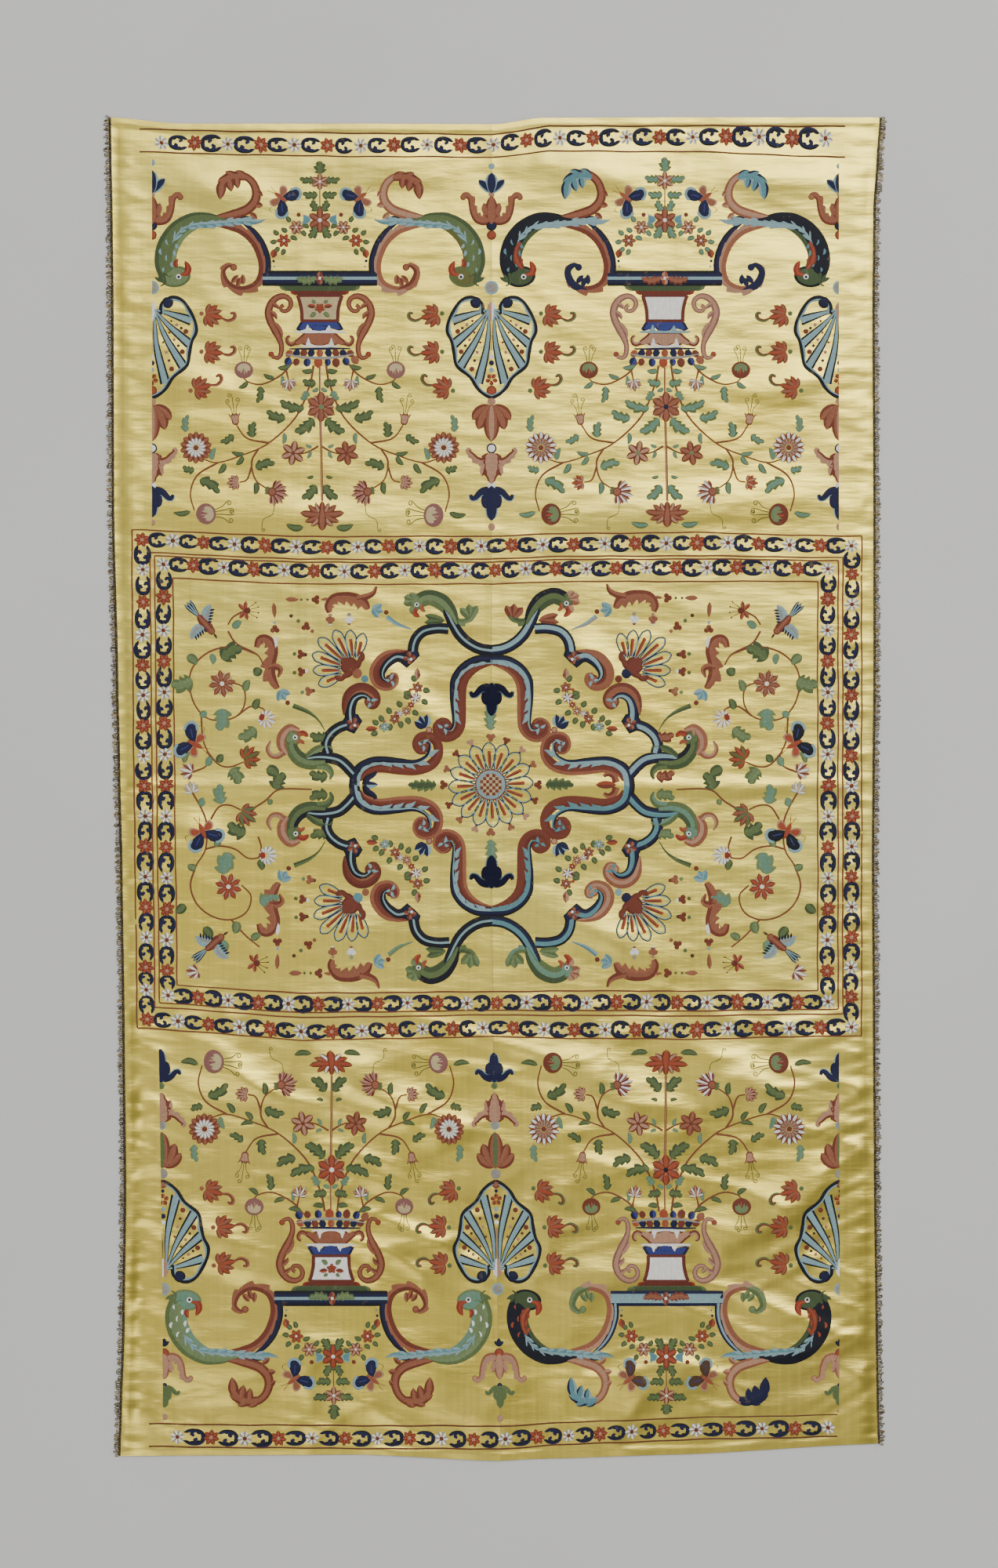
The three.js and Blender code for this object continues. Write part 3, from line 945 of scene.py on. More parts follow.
def satin_material():
    """Yellow silk satin: a glossy warp, soft stains and fine crinkles, and painted shade that darkens the
    lower third towards olive.
    """
    material, tree, shader = new_material("yellow_satin")
    place = tree.node("ShaderNodeTexCoord", out="Object")
    broad = noise(tree, place, 2.3, 3.0)
    streaks = noise(tree, stretched(tree, place, (150.0, 2.0, 1.0)), 1.0, 2.0)
    slubs = noise(tree, stretched(tree, place, (5.0, 260.0, 1.0)), 1.0, 2.0)
    height = tree.node("ShaderNodeSeparateXYZ", None, {"Vector": place}, "Y")
    gold, straw, olive = linear((204, 182, 74)), linear((207, 189, 90)), linear((176, 155, 66))
    base = mix(tree, tree.node("ShaderNodeValToRGB", {"stops": [(0.3, (0, 0, 0, 1)), (0.7, (1, 1, 1, 1))]},
                               {"Fac": broad}), gold, straw)
    # Painted shade: below about y = -0.45 m the base colour is mixed towards a darker olive in broad patches.
    # The same mask also deepens the crinkles of the bump there.
    lower = tree.node("ShaderNodeMapRange", None, {"Value": height, "From Min": -0.45, "From Max": -0.75,
                                                   "To Min": 0.0, "To Max": 0.55})
    base = mix(tree, lower * broad * 1.5, base, olive)
    stain = tree.node("ShaderNodeMapRange", None, {"Value": noise(tree, place, 5.5, 5.0, 0.6),
                                                   "From Min": 0.6, "From Max": 0.78, "To Max": 0.35})
    base = mix(tree, stain, base, linear((160, 134, 76)))
    weave = (streaks - 0.5) * 0.16 + (slubs - 0.5) * 0.08 + 1.0
    grey = tree.node("ShaderNodeCombineColor", None, {0: weave, 1: weave, 2: weave})
    feed(tree, shader, Base_Color=mix(tree, 1.0, base, grey, "MULTIPLY"))
    feed(tree, shader, Roughness=0.28 + 0.06 * streaks + 0.06 * broad)
    shader.inputs["Metallic"].default_value = 0.8
    fine = noise(tree, stretched(tree, place, (14.0, 60.0, 1.0)), 1.0, 3.0)
    soft = noise(tree, stretched(tree, place, (6.0, 11.0, 1.0)), 1.0, 2.0)
    grain = streaks * 0.15 + slubs * 0.2 + fine * 2.6 + soft * (3.0 + 11.0 * lower)
    bump = tree.node("ShaderNodeBump", None, {"Strength": 0.5, "Distance": 0.0006, "Height": grain})
    feed(tree, shader, Normal=bump)
    shader.inputs["Specular IOR Level"].default_value = 0.3
    return material


def silk_material():
    """Floss silk in satin stitch: fine side-by-side threads, each a little off in tone."""
    material, tree, shader = new_material("floss_silk")
    dyed = tree.node("ShaderNodeAttribute", {"attribute_name": "thread"}, out="Color")
    tone = tree.node("ShaderNodeAttribute", {"attribute_name": "tone"}, out="Fac")
    run = tree.node("ShaderNodeUVMap", {"uv_map": "stitch"})
    place = tree.node("ShaderNodeTexCoord", out="Object")
    threads = noise(tree, stretched(tree, run, (1500.0, 160.0, 1.0)), 1.0, 2.0)
    skeins = noise(tree, stretched(tree, run, (230.0, 60.0, 1.0)), 1.0, 2.0)
    worn = tree.node("ShaderNodeMapRange", None, {"Value": noise(tree, place, 34.0, 4.0, 0.65),
                                                  "From Min": 0.62, "From Max": 0.82, "To Max": 0.4})
    light = (threads - 0.5) * 0.8 + (skeins - 0.5) * 0.5 + tone * 0.18 + 0.94
    grey = tree.node("ShaderNodeCombineColor", None, {0: light, 1: light, 2: light})
    colour = mix(tree, 1.0, dyed, grey, "MULTIPLY")
    feed(tree, shader, Base_Color=mix(tree, worn, colour, linear((186, 160, 100))))
    feed(tree, shader, Roughness=0.5 + 0.2 * skeins)
    bump = tree.node("ShaderNodeBump", None, {"Strength": 0.6, "Distance": 0.0003, "Height": threads})
    feed(tree, shader, Normal=bump)
    shader.inputs["Specular IOR Level"].default_value = 0.25
    return material


def gilt_material():
    """Metal thread, tarnished to dark olive with bright gilt flecks."""
    material, tree, shader = new_material("tarnished_gilt_thread")
    place = tree.node("ShaderNodeTexCoord", out="Object")
    tone = tree.node("ShaderNodeAttribute", {"attribute_name": "tone"}, out="Fac")
    flecks = noise(tree, place, 420.0, 2.0, 0.6)
    shine = tree.node("ShaderNodeMapRange", None, {"Value": flecks + tone * 0.16, "From Min": 0.52,
                                                   "From Max": 0.74})
    feed(tree, shader, Base_Color=mix(tree, shine, linear((42, 36, 22)), linear((158, 136, 80))))
    feed(tree, shader, Roughness=0.62 - 0.25 * shine)
    feed(tree, shader, Metallic=0.45 + 0.4 * shine)
    return material


def floor_material():
    """The pale, dull surface that the cloth lies on."""
    material, tree, shader = new_material("pale_floor")
    place = tree.node("ShaderNodeTexCoord", out="Object")
    shade = mix(tree, noise(tree, place, 1.6, 3.0), linear((214, 212, 207)), linear((224, 222, 218)))
    feed(tree, shader, Base_Color=shade)
    shader.inputs["Roughness"].default_value = 0.9
    return material


SATIN, FLOSS, GILT = satin_material(), silk_material(), gilt_material()


# Laying and finishing pieces
def lay(mesh):
    """Lays a flat mesh of the pattern on the cloth: creep first, then the satin's height."""
    flat = np.empty(len(mesh.vertices) * 3, np.float32)
    mesh.vertices.foreach_get("co", flat)
    flat = flat.reshape(-1, 3).astype(float)
    x, y = to_frame(flat[:, 0] / SQUARE, flat[:, 1] / SQUARE)
    z = satin_top(x, y) + STITCH_BED + flat[:, 2]
    mesh.vertices.foreach_set("co", np.column_stack([x, y, z]).astype(np.float32).ravel())
    mesh.update()
    return mesh


def joined(name, meshes):
    """Several meshes as one."""
    whole = bmesh.new()
    for mesh in meshes:
        whole.from_mesh(mesh)
    made = bpy.data.meshes.new(name)
    whole.to_mesh(made)
    whole.free()
    return made


def piece(name, mesh, material, slot, *nodes):
    """A finished piece that rides on the cloth."""
    made = bpy.data.objects.new(name, mesh)
    bpy.context.scene.collection.objects.link(made)
    mesh.materials.clear()
    mesh.materials.append(material)
    mesh.polygons.foreach_set("use_smooth", [True] * len(mesh.polygons))
    mesh.set_sharp_from_angle(angle=math.radians(62))
    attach(made, "root")
    if nodes:
        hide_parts(*nodes)
    return made


def embroidery(name, draw, seed=0, cuts=()):
    """A piece of silk work: drawn flat, cut straight where its motifs run off, then laid."""
    silk = Silk(seed)
    draw(Pen(silk))
    mesh = silk.mesh(name)
    for side, u in cuts:
        work = bmesh.new()
        work.from_mesh(mesh)
        cut = bmesh.ops.bisect_plane(work, geom=work.verts[:] + work.edges[:] + work.faces[:], dist=1e-7,
                                     plane_co=(u * SQUARE, 0, 0), plane_no=(side, 0, 0), clear_outer=True)
        rim = [edge for edge in cut["geom_cut"] if isinstance(edge, bmesh.types.BMEdge)]
        bmesh.ops.holes_fill(work, edges=rim)
        work.to_mesh(mesh)
        work.free()
    return piece(name, lay(mesh), FLOSS, "silk_thread")


def satin_panel(side):
    """One loom width as a thin closed sheet, with its hems."""
    outer = "left" if side < 0 else "right"
    columns = round(LOOM_WIDTH / GRID) + 1
    rows = round(CLOTH_LENGTH / GRID) + 1
    across = np.linspace(0, 1, columns)
    along = np.linspace(0, 1, rows)
    hem = HEM_WIDTH / CLOTH_LENGTH
    folds = np.array([hem, hem * 1.2, 1 - hem * 1.2, 1 - hem])
    near = np.abs(along[:, None] - folds).min(axis=1) < 0.35 * GRID / CLOTH_LENGTH
    along = np.sort(np.concatenate([along[~near], folds]))
    if side > 0:
        across = across[::-1]
    share, run = np.meshgrid(across, along, indexing="ij")
    nominal = (run - 0.5) * CLOTH_LENGTH * 1000
    edge, seam = between(SIDES, "y", outer, nominal), between(SIDES, "y", "seam", nominal)
    seam = seam + side * SEAM_GAP * 500
    x = edge + (seam - edge) * share
    low, high = between(ENDS, "x", "bottom", x), between(ENDS, "x", "top", x)
    y = low + (high - low) * run
    under = relief(x.ravel(), y.ravel()).reshape(x.shape)
    rim = (share == 0) | (run <= hem) | (run >= 1 - hem)
    thick = np.where(rim, HEM_THICKNESS, SATIN_THICKNESS)
    flat_x, flat_y = x / 1000 + SHIFT.x, y / 1000 + SHIFT.y
    top = np.column_stack([flat_x.ravel(), flat_y.ravel(), (under / 1000 + thick).ravel()])
    bottom = np.column_stack([flat_x.ravel(), flat_y.ravel(), (under / 1000).ravel()])
    wide, tall = x.shape
    index = np.arange(wide * tall).reshape(wide, tall)
    a, b, c, d = index[:-1, :-1], index[1:, :-1], index[1:, 1:], index[:-1, 1:]
    upper = np.column_stack([a.ravel(), b.ravel(), c.ravel(), d.ravel()])
    lower = upper[:, ::-1] + wide * tall
    ring = np.concatenate([index[:, 0], index[-1, 1:], index[-2::-1, -1], index[0, -2:0:-1]])
    after = np.roll(ring, -1)
    wall = np.column_stack([ring + wide * tall, after + wide * tall, after, ring])
    mesh = bpy.data.meshes.new("satin_" + outer)
    mesh.from_pydata(np.vstack([top, bottom]).tolist(), [], np.vstack([upper, lower, wall]).tolist())
    mesh.validate()
    panel = piece("satin_" + outer, mesh, SATIN, "satin", "panel_" + outer)
    return panel


# Stitched lines of the border bands, in squares: those of the two ends, then the frames of the middle
STRIPES = [
    [(-449, 837), (451, 837)], [(-449, 808), (451, 808)], [(-451, -813), (441, -813)],
    [(-451, -842), (441, -842)],
]
FRAMES = records(
    "left right top bottom",
    (-459, 472, 322, -319), (-436, 448, 293, -291), (-430, 442, 289, -285), (-407, 416, 261, -261),
)
# Chains of flowers and links. `first` is the motif that a chain starts with, and links face the
# other way in as many of its first places as `turned` says. One without corners has its end places filled
# by the chains across it.
CHAINS = records(
    "piece line flowers first turned corners",
    ("ends", [(-421, 820), (0, 823.5), (426, 825.5)], 21, 0, 0, True),
    ("ends", [(429, -829.5), (-415, -829.5)], 21, 0, 0, True),
    ("outer", [(-446, 309), (459, 309)], 24, 2, 0, True),
    ("outer", [(-446, -308), (459, -308)], 24, 2, 0, True),
    ("sides", [(-446, -308), (-446, 309)], 17, 2, 15, False),
    ("sides", [(459, -308), (459, 309)], 17, 0, 15, False),
    ("inner", [(-419, 278), (429, 278)], 23, 0, 0, True),
    ("inner", [(429, -275), (-419, -275)], 23, 0, 0, True),
    ("sides", [(-419, -275), (-419, 278)], 15, 0, 13, False),
    ("sides", [(429, -275), (429, 278)], 15, 0, 13, False),
)


def wavering(line, gap, sway):
    """A drawn line with a hand's small wavering."""
    line = even(line, gap)
    steps = np.arange(len(line))
    waver = sway * (np.sin(steps * 0.53) + np.sin(steps * 0.21 + 1.0))
    step = np.gradient(line, axis=0)
    step /= np.hypot(step[:, 0], step[:, 1])[:, None]
    return line + np.column_stack([-step[:, 1], step[:, 0]]) * waver[:, None]


def draw_lines(pen):
    """The thin stitched lines that edge the borders."""
    for stripe in STRIPES:
        pen.band(wavering(stripe, 6, 0.3), 1.0, ("brick", "brown"), 0.4)
    for ring in FRAMES:
        left, right, top, bottom = ring.values()
        corners = [(left, top), (right, top), (right, bottom), (left, bottom), (left, top)]
        for start, end in zip(corners, corners[1:]):
            pen.band(wavering([start, end], 6, 0.25), 1.0, ("stem", "brick"), 0.4)


def border_chains():
    """Flowers and links in turn along the borders' bands."""
    motifs = {
        "White Flower": motif_object("white_flower", lambda pen: border_flower(pen, 0)),
        "Link": motif_object("scroll_link", lambda pen: link(pen, 0)),
        "Red Flower": motif_object("red_flower", lambda pen: border_flower(pen, 1)),
        "Other Link": motif_object("other_scroll_link", lambda pen: link(pen, 1)),
    }
    tree = chain_tree(FLOSS)
    made = {}
    for chain in CHAINS:
        places = 2 * chain["flowers"] - 1
        line = np.array(chain["line"], float)
        first = chain["first"]
        if not chain["corners"]:
            line = line + np.array([[1], [-1]]) * (line[1] - line[0]) / (places - 1)
            places, first = places - 2, first + 1
        path = line_curve("chain_path", [wavering(line, 12, 0.5) * SQUARE])
        sizes = dict(motifs, Places=places, First=first)
        sizes["Turned Before"] = chain["turned"]
        made.setdefault(chain["piece"], []).append(lay(grown(path, tree, sizes)))
    for name, meshes in made.items():
        piece("border_" + name, joined("border_" + name, meshes), FLOSS, "silk_thread")
    for motif in motifs.values():
        bpy.data.objects.remove(motif)


def row_tree(name, material, strip):
    """Many like things in a row along a line, each a little turned and sized by chance."""
    tree, given, end = blank_tree(name, {
        "Count": "NodeSocketInt", "Motif": "NodeSocketObject", "Other Motif": "NodeSocketObject",
        "Lean": "NodeSocketFloat", "Least Size": "NodeSocketVector", "Most Size": "NodeSocketVector",
        "Strip Half Width": "NodeSocketFloat", "Strip Half Height": "NodeSocketFloat"})
    parts = []
    for kind, label in enumerate(("Motif", "Other Motif")):
        count = Wire(tree, given["Count"]) * (1 + 0.62 * kind)
        points = tree.node("GeometryNodeCurveToPoints", {"mode": "COUNT"},
                           {"Curve": given["Geometry"], "Count": count})
        tangent = Wire(tree, points.socket.node.outputs["Tangent"])
        along = tree.node("FunctionNodeAlignRotationToVector", {"axis": "X", "pivot_axis": "Z"},
                          {"Vector": tangent})
        lean = Wire(tree, given["Lean"]) * (1 - kind)
        swing = tree.node("FunctionNodeRandomValue", {"data_type": "FLOAT"},
                          {2: lean * -1.0, 3: lean, "Seed": 31 + kind}, 1)
        turned = tree.node("FunctionNodeRotateRotation", {"rotation_space": "LOCAL"}, {
            "Rotation": along, "Rotate By": tree.node("FunctionNodeEulerToRotation", None, {
                0: tree.node("ShaderNodeCombineXYZ", None, {"Z": swing})})})
        scale = tree.node("FunctionNodeRandomValue", {"data_type": "FLOAT_VECTOR"}, {
            0: given["Least Size"], 1: given["Most Size"], "Seed": 47 + kind})
        motif = tree.node("GeometryNodeObjectInfo", None, {"Object": given[label]}, "Geometry")
        parts.append(tree.node("GeometryNodeInstanceOnPoints", None, {
            "Points": points, "Instance": motif, "Rotation": turned, "Scale": scale}))
    if strip:
        ring = tree.node("GeometryNodeCurvePrimitiveCircle", {"mode": "RADIUS"},
                         {"Resolution": 8, "Radius": 1.0})
        size = tree.node("ShaderNodeCombineXYZ", None, {
            "X": given["Strip Half Width"], "Y": given["Strip Half Height"], "Z": 1.0})
        profile = tree.node("GeometryNodeTransform", None, {"Geometry": ring, "Scale": size})
        parts.append(tree.node("GeometryNodeCurveToMesh", None, {
            "Curve": given["Geometry"], "Profile Curve": profile, "Fill Caps": True}))
    return close_chain(tree, parts, end, material)


def thread_motif(name, line, radius, sides=4, closed=False):
    """A helper object: a short thread along a line of points in metres."""
    line = np.array(line, float)
    ahead = np.roll(line, -1, axis=0) - np.roll(line, 1, axis=0)
    if not closed:
        ahead[0], ahead[-1] = line[1] - line[0], line[-1] - line[-2]
    ahead /= np.linalg.norm(ahead, axis=1)[:, None]
    across = np.column_stack([-ahead[:, 1], ahead[:, 0], np.zeros(len(line))])
    across /= np.maximum(np.linalg.norm(across, axis=1)[:, None], 1e-9)
    up = np.cross(ahead, across)
    angle = (np.arange(sides) + 0.5) * 2 * math.pi / sides
    ends = np.ones(len(line)) if closed else np.array([0.35] + [1.0] * (len(line) - 2) + [0.35])
    reach = radius * ends[:, None, None]
    around = np.cos(angle)[None, :, None] * across[:, None, :] + np.sin(angle)[None, :, None] * up[:, None, :]
    places = (line[:, None, :] + reach * around).reshape(-1, 3)
    faces = []
    count = len(line)
    for i in range(count if closed else count - 1):
        a, b = i * sides, (i + 1) % count * sides
        faces += [(a + j, a + (j + 1) % sides, b + (j + 1) % sides, b + j) for j in range(sides)]
    if not closed:
        faces += [tuple(range(sides))[::-1], tuple(range((count - 1) * sides, count * sides))]
    mesh = bpy.data.meshes.new(name)
    mesh.from_pydata(places.tolist(), [], faces)
    made = bpy.data.objects.new(name, mesh)
    bpy.context.scene.collection.objects.link(made)
    return made


def fringes():
    """The gilt edging of both long sides: a dotted braid and a row of uneven loops."""
    turn = np.linspace(0, 2 * math.pi, 10, endpoint=False)
    reach, wide, start, twist = LOOP_REACH * 1000 / 2, 1.7, 1.2, 0.35
    loop = [(wide * math.sin(a) / 1000, (reach - reach * math.cos(a) + start) / 1000,
             twist * math.sin(2 * a) / 1000) for a in turn]
    loop = thread_motif("fringe_loop", loop, GILT_THREAD, 4, True)
    knot = thread_motif("braid_knot", [(-0.0011, -0.0014, 0.0007), (-0.0003, -0.0013, 0.0014),
                                       (0.0005, -0.0011, 0.0014), (0.0012, -0.0010, 0.0007)], GILT_THREAD, 4)
    tree = row_tree("gilt_edging", GILT, True)
    for side, outer in ((-1, "left"), (1, "right")):
        low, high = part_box("fringe_" + outer)
        y = np.linspace(low.y + 0.001, high.y - 0.001, 130)[::-side]
        own = (y - SHIFT.y) * 1000
        x = between(SIDES, "y", outer, own) / 1000 + SHIFT.x + side * (BRAID_GAP + BRAID_WIDTH / 2)
        path = line_curve("edge_" + outer, [np.column_stack([x, y, np.full(len(y), BRAID_LIFT)])])
        mesh = grown(path, tree, {"Count": round(CLOTH_LENGTH / LOOP_PITCH), "Motif": loop,
                                  "Other Motif": knot,
                                  "Lean": 0.42, "Least Size": (0.75, 0.7, 0.9), "Most Size": (1.35, 1.2, 1.0),
                                  "Strip Half Width": BRAID_WIDTH / 2,
                                  "Strip Half Height": BRAID_THICKNESS / 2})
        piece("gilt_edging_" + outer, mesh, GILT, "metal_thread", "fringe_" + outer)
    for made in (loop, knot):
        bpy.data.objects.remove(made)


def sewing():
    """The hand stitches along the seam, the hems and the long edges."""
    stitch = thread_motif("slip_stitch", [(-0.0013, 0, 0), (0, 0, 0.00027), (0.0013, 0, 0)], 0.00025, 3)
    cross = thread_motif("seam_stitch", [(-0.0003, -0.0014, 0), (0, 0, 0.0003), (0.0003, 0.0014, 0)], 0.0002,
                         3)
    tree = row_tree("sewn_row", FLOSS, False)
    along = np.linspace(-1268, 1266, 260)
    at_seam, at_edge, at_hem = 560, 420, 190
    rows = [(between(SIDES, "y", "seam", along), along, at_seam, cross)]
    for side, outer in ((-1, "left"), (1, "right")):
        rows.append((between(SIDES, "y", outer, along) - side * 2.5, along, at_edge, stitch))
    across = np.linspace(-722, 722, 160)
    rows.append((across, between(ENDS, "x", "top", across) - 13, at_hem, stitch))
    rows.append((across, between(ENDS, "x", "bottom", across) + 13, at_hem, stitch))
    meshes = []
    for x, y, count, motif in rows:
        fx, fy = x / 1000 + SHIFT.x, y / 1000 + SHIFT.y
        path = line_curve("row", [np.column_stack([fx, fy, satin_top(fx, fy) + SLACK])])
        meshes.append(grown(path, tree, {"Count": count, "Motif": motif, "Other Motif": motif, "Lean": 0.25,
                                         "Least Size": (0.75, 0.8, 0.9), "Most Size": (1.15, 1.1, 1.1),
                                         "Strip Half Width": 0.0, "Strip Half Height": 0.0}))
    whole = joined("sewing", meshes)
    thread = whole.color_attributes.new("thread", "FLOAT_COLOR", "CORNER")
    thread.data.foreach_set("color", np.tile(linear(SILKS["cream"]), len(whole.loops)).astype(np.float32))
    piece("sewing", whole, FLOSS, "silk_thread")
    for made in (stitch, cross):
        bpy.data.objects.remove(made)


# The urn of each end field. Its pen stands at the middle of the platform, y towards the sprays
def acanthus(pen, points, half, tones, teeth=5, depth=0.8):
    """A curling leafy band, smooth on its left side and barbed on its right."""
    line = through(points, 2.0)
    stops = spread(half, len(line))
    share = np.linspace(0, 1, len(line))
    barbed = stops * (1.0 - depth * 0.5 + depth * 1.2 * ((share * teeth) % 1.0))
    pen.band(line, stops, tones, 0.7, barbed)


def pointed_leaf(pen, x0, y0, x1, y1, half, tones, lobes=0):
    """A leaf from one place to another."""
    length = math.hypot(x1 - x0, y1 - y0)
    leaf(pen.at(x0, y0, turn=bearing(x1 - x0, y1 - y0)), length, half, tones, lobes)


# Half a spray: x0, y0 at the stem, x1, y1 at the tip, half width, lobes, tones
SPRAY_LEAVES = [
    (9, 117, 23, 118, 3.2, 0, "dark"), (5, 134, 22, 130, 5, 3, "dark"), (2, 140, 10, 144, 2.4, 0, "light"),
    (16, 144, 24, 155, 4.6, 2, "light"), (20, 166, 51, 156, 6.2, 4, "dark"),
    (44, 179, 68, 169, 6.2, 3, "dark"),
    (8, 179, 32, 196, 7, 4, "dark"), (46, 197, 47, 212, 2.8, 0, "light"), (86, 203, 83, 183, 5.6, 3, "dark"),
    (110, 200, 127, 209, 4.6, 2, "dark"), (171, 196, 168, 174, 4.6, 2, "light"),
    (165, 298, 187, 300, 3.4, 0, "dark"), (153, 257, 128, 274, 6.6, 3, "dark"),
    (160, 245, 175, 240, 4.6, 2, "dark"), (138, 232, 133, 216, 3.6, 0, "light"),
    (121, 236, 130, 249, 3.6, 0, "dark"), (98, 227, 107, 238, 3.2, 0, "dark"),
    (96, 224, 113, 221, 2.8, 0, "dark"), (82, 260, 83, 276, 3.6, 0, "dark"), (82, 242, 57, 236, 6, 3, "dark"),
    (38, 111, 54, 114, 3.2, 0, "dark"), (58, 127, 72, 122, 2.8, 0, "dark"),
    (76, 138, 80, 159, 4.6, 3, "dark"),
    (92, 132, 104, 140, 3, 0, "dark"), (48, 124, 50, 137, 2.2, 0, "light"), (10, 215, 18, 212, 2, 0, "light"),
    (12, 220, 16, 230, 2.2, 0, "light"), (8, 252, 17, 254, 2, 0, "dark"), (5, 264, 23, 281, 6.4, 3, "dark"),
    (21, 315, 43, 312, 3.8, 0, "dark"),
]
SPRAY_STEMS = [
    [(8, 111), (13, 136), (30, 176), (65, 210), (100, 226), (130, 235), (148, 231)],
    [(130, 235), (156, 251), (165, 274), (160, 297)],
    [(65, 210), (93, 204), (107, 186)],
    [(78, 217), (87, 234), (82, 257), (65, 270)],
    [(87, 240), (93, 257), (103, 260)],
    [(35, 107), (49, 123), (73, 135), (92, 132), (98, 125)],
    [(43, 117), (40, 130)],
    [(2, 214), (14, 221), (24, 224)],
]


def spray(pen, dyes):
    """The plant that grows from an urn."""
    pen.band(through([(0, 108), (0, 148)], 5), 1.2, ("stem", "pink"), 0.5)
    pen.band(through([(0.5, 178), (2, 230), (3, 284)], 5), 1.5, ("stem", "pink", "brick"), 0.6)
    blossom(pen.at(1.6, 164, turn=90, over=0.3), 19, 6, dyes["edge"], dyes["petal"], dyes["heart"],
            ("salmon", "pink"))
    lotus(pen.at(3, 299, turn=90, over=0.2), dyes["edge"], dyes["petal"], dyes["tips"])
    leaf_tones = {"dark": dyes["leaf"], "light": dyes["young_leaf"]}
    for half, side in zip(pen.both(), ("right", "left")):
        for stem in SPRAY_STEMS:
            half.band(through(stem, 4), [1.4, 1.2, 1.0, 0.9], (dyes["stem"], "stem"), 0.5)
        for x0, y0, x1, y1, width, lobes, tone in SPRAY_LEAVES:
            pointed_leaf(half.at(over=0.15), x0, y0, x1, y1, width, leaf_tones[tone], lobes)
        over = half.at(over=0.25)
        chrysanthemum(over.at(158, 216, turn=12), dyes["edge"], dyes["ring"], dyes["inner"])
        star = dyes["star"] if side == "right" else dyes["left_star"]
        blossom(over.at(34, 223, turn=20), 15.5, 6, dyes["edge"], star, dyes["star_heart"])
        rim, fill, core = dyes["fruit"]
        pomegranate(over.at(145, 301, turn=186, size=1.0), rim, fill, core, 4)
        pomegranate(over.at(97, 117, turn=-92, size=0.86), rim, fill, core, 3)
        fan_daisy(over.at(62, 272, turn=166), dyes["fan"], dyes["fan_edge"], dyes["edge"])
        tulip(over.at(107, 187, turn=-82, size=0.95), dyes["edge"], "pink", 3)
        bud(over.at(104, 260, turn=5, size=0.62), dyes["bud"], "pink", dyes["bud_core"])
        bud(over.at(40, 130, turn=98, size=0.6), dyes["bud"], "white", "pink")
        tendril(half, [(58, 288), (60, 300), (72, 307), (74, 319)], curl=2.4 if side == "left" else -2.4)


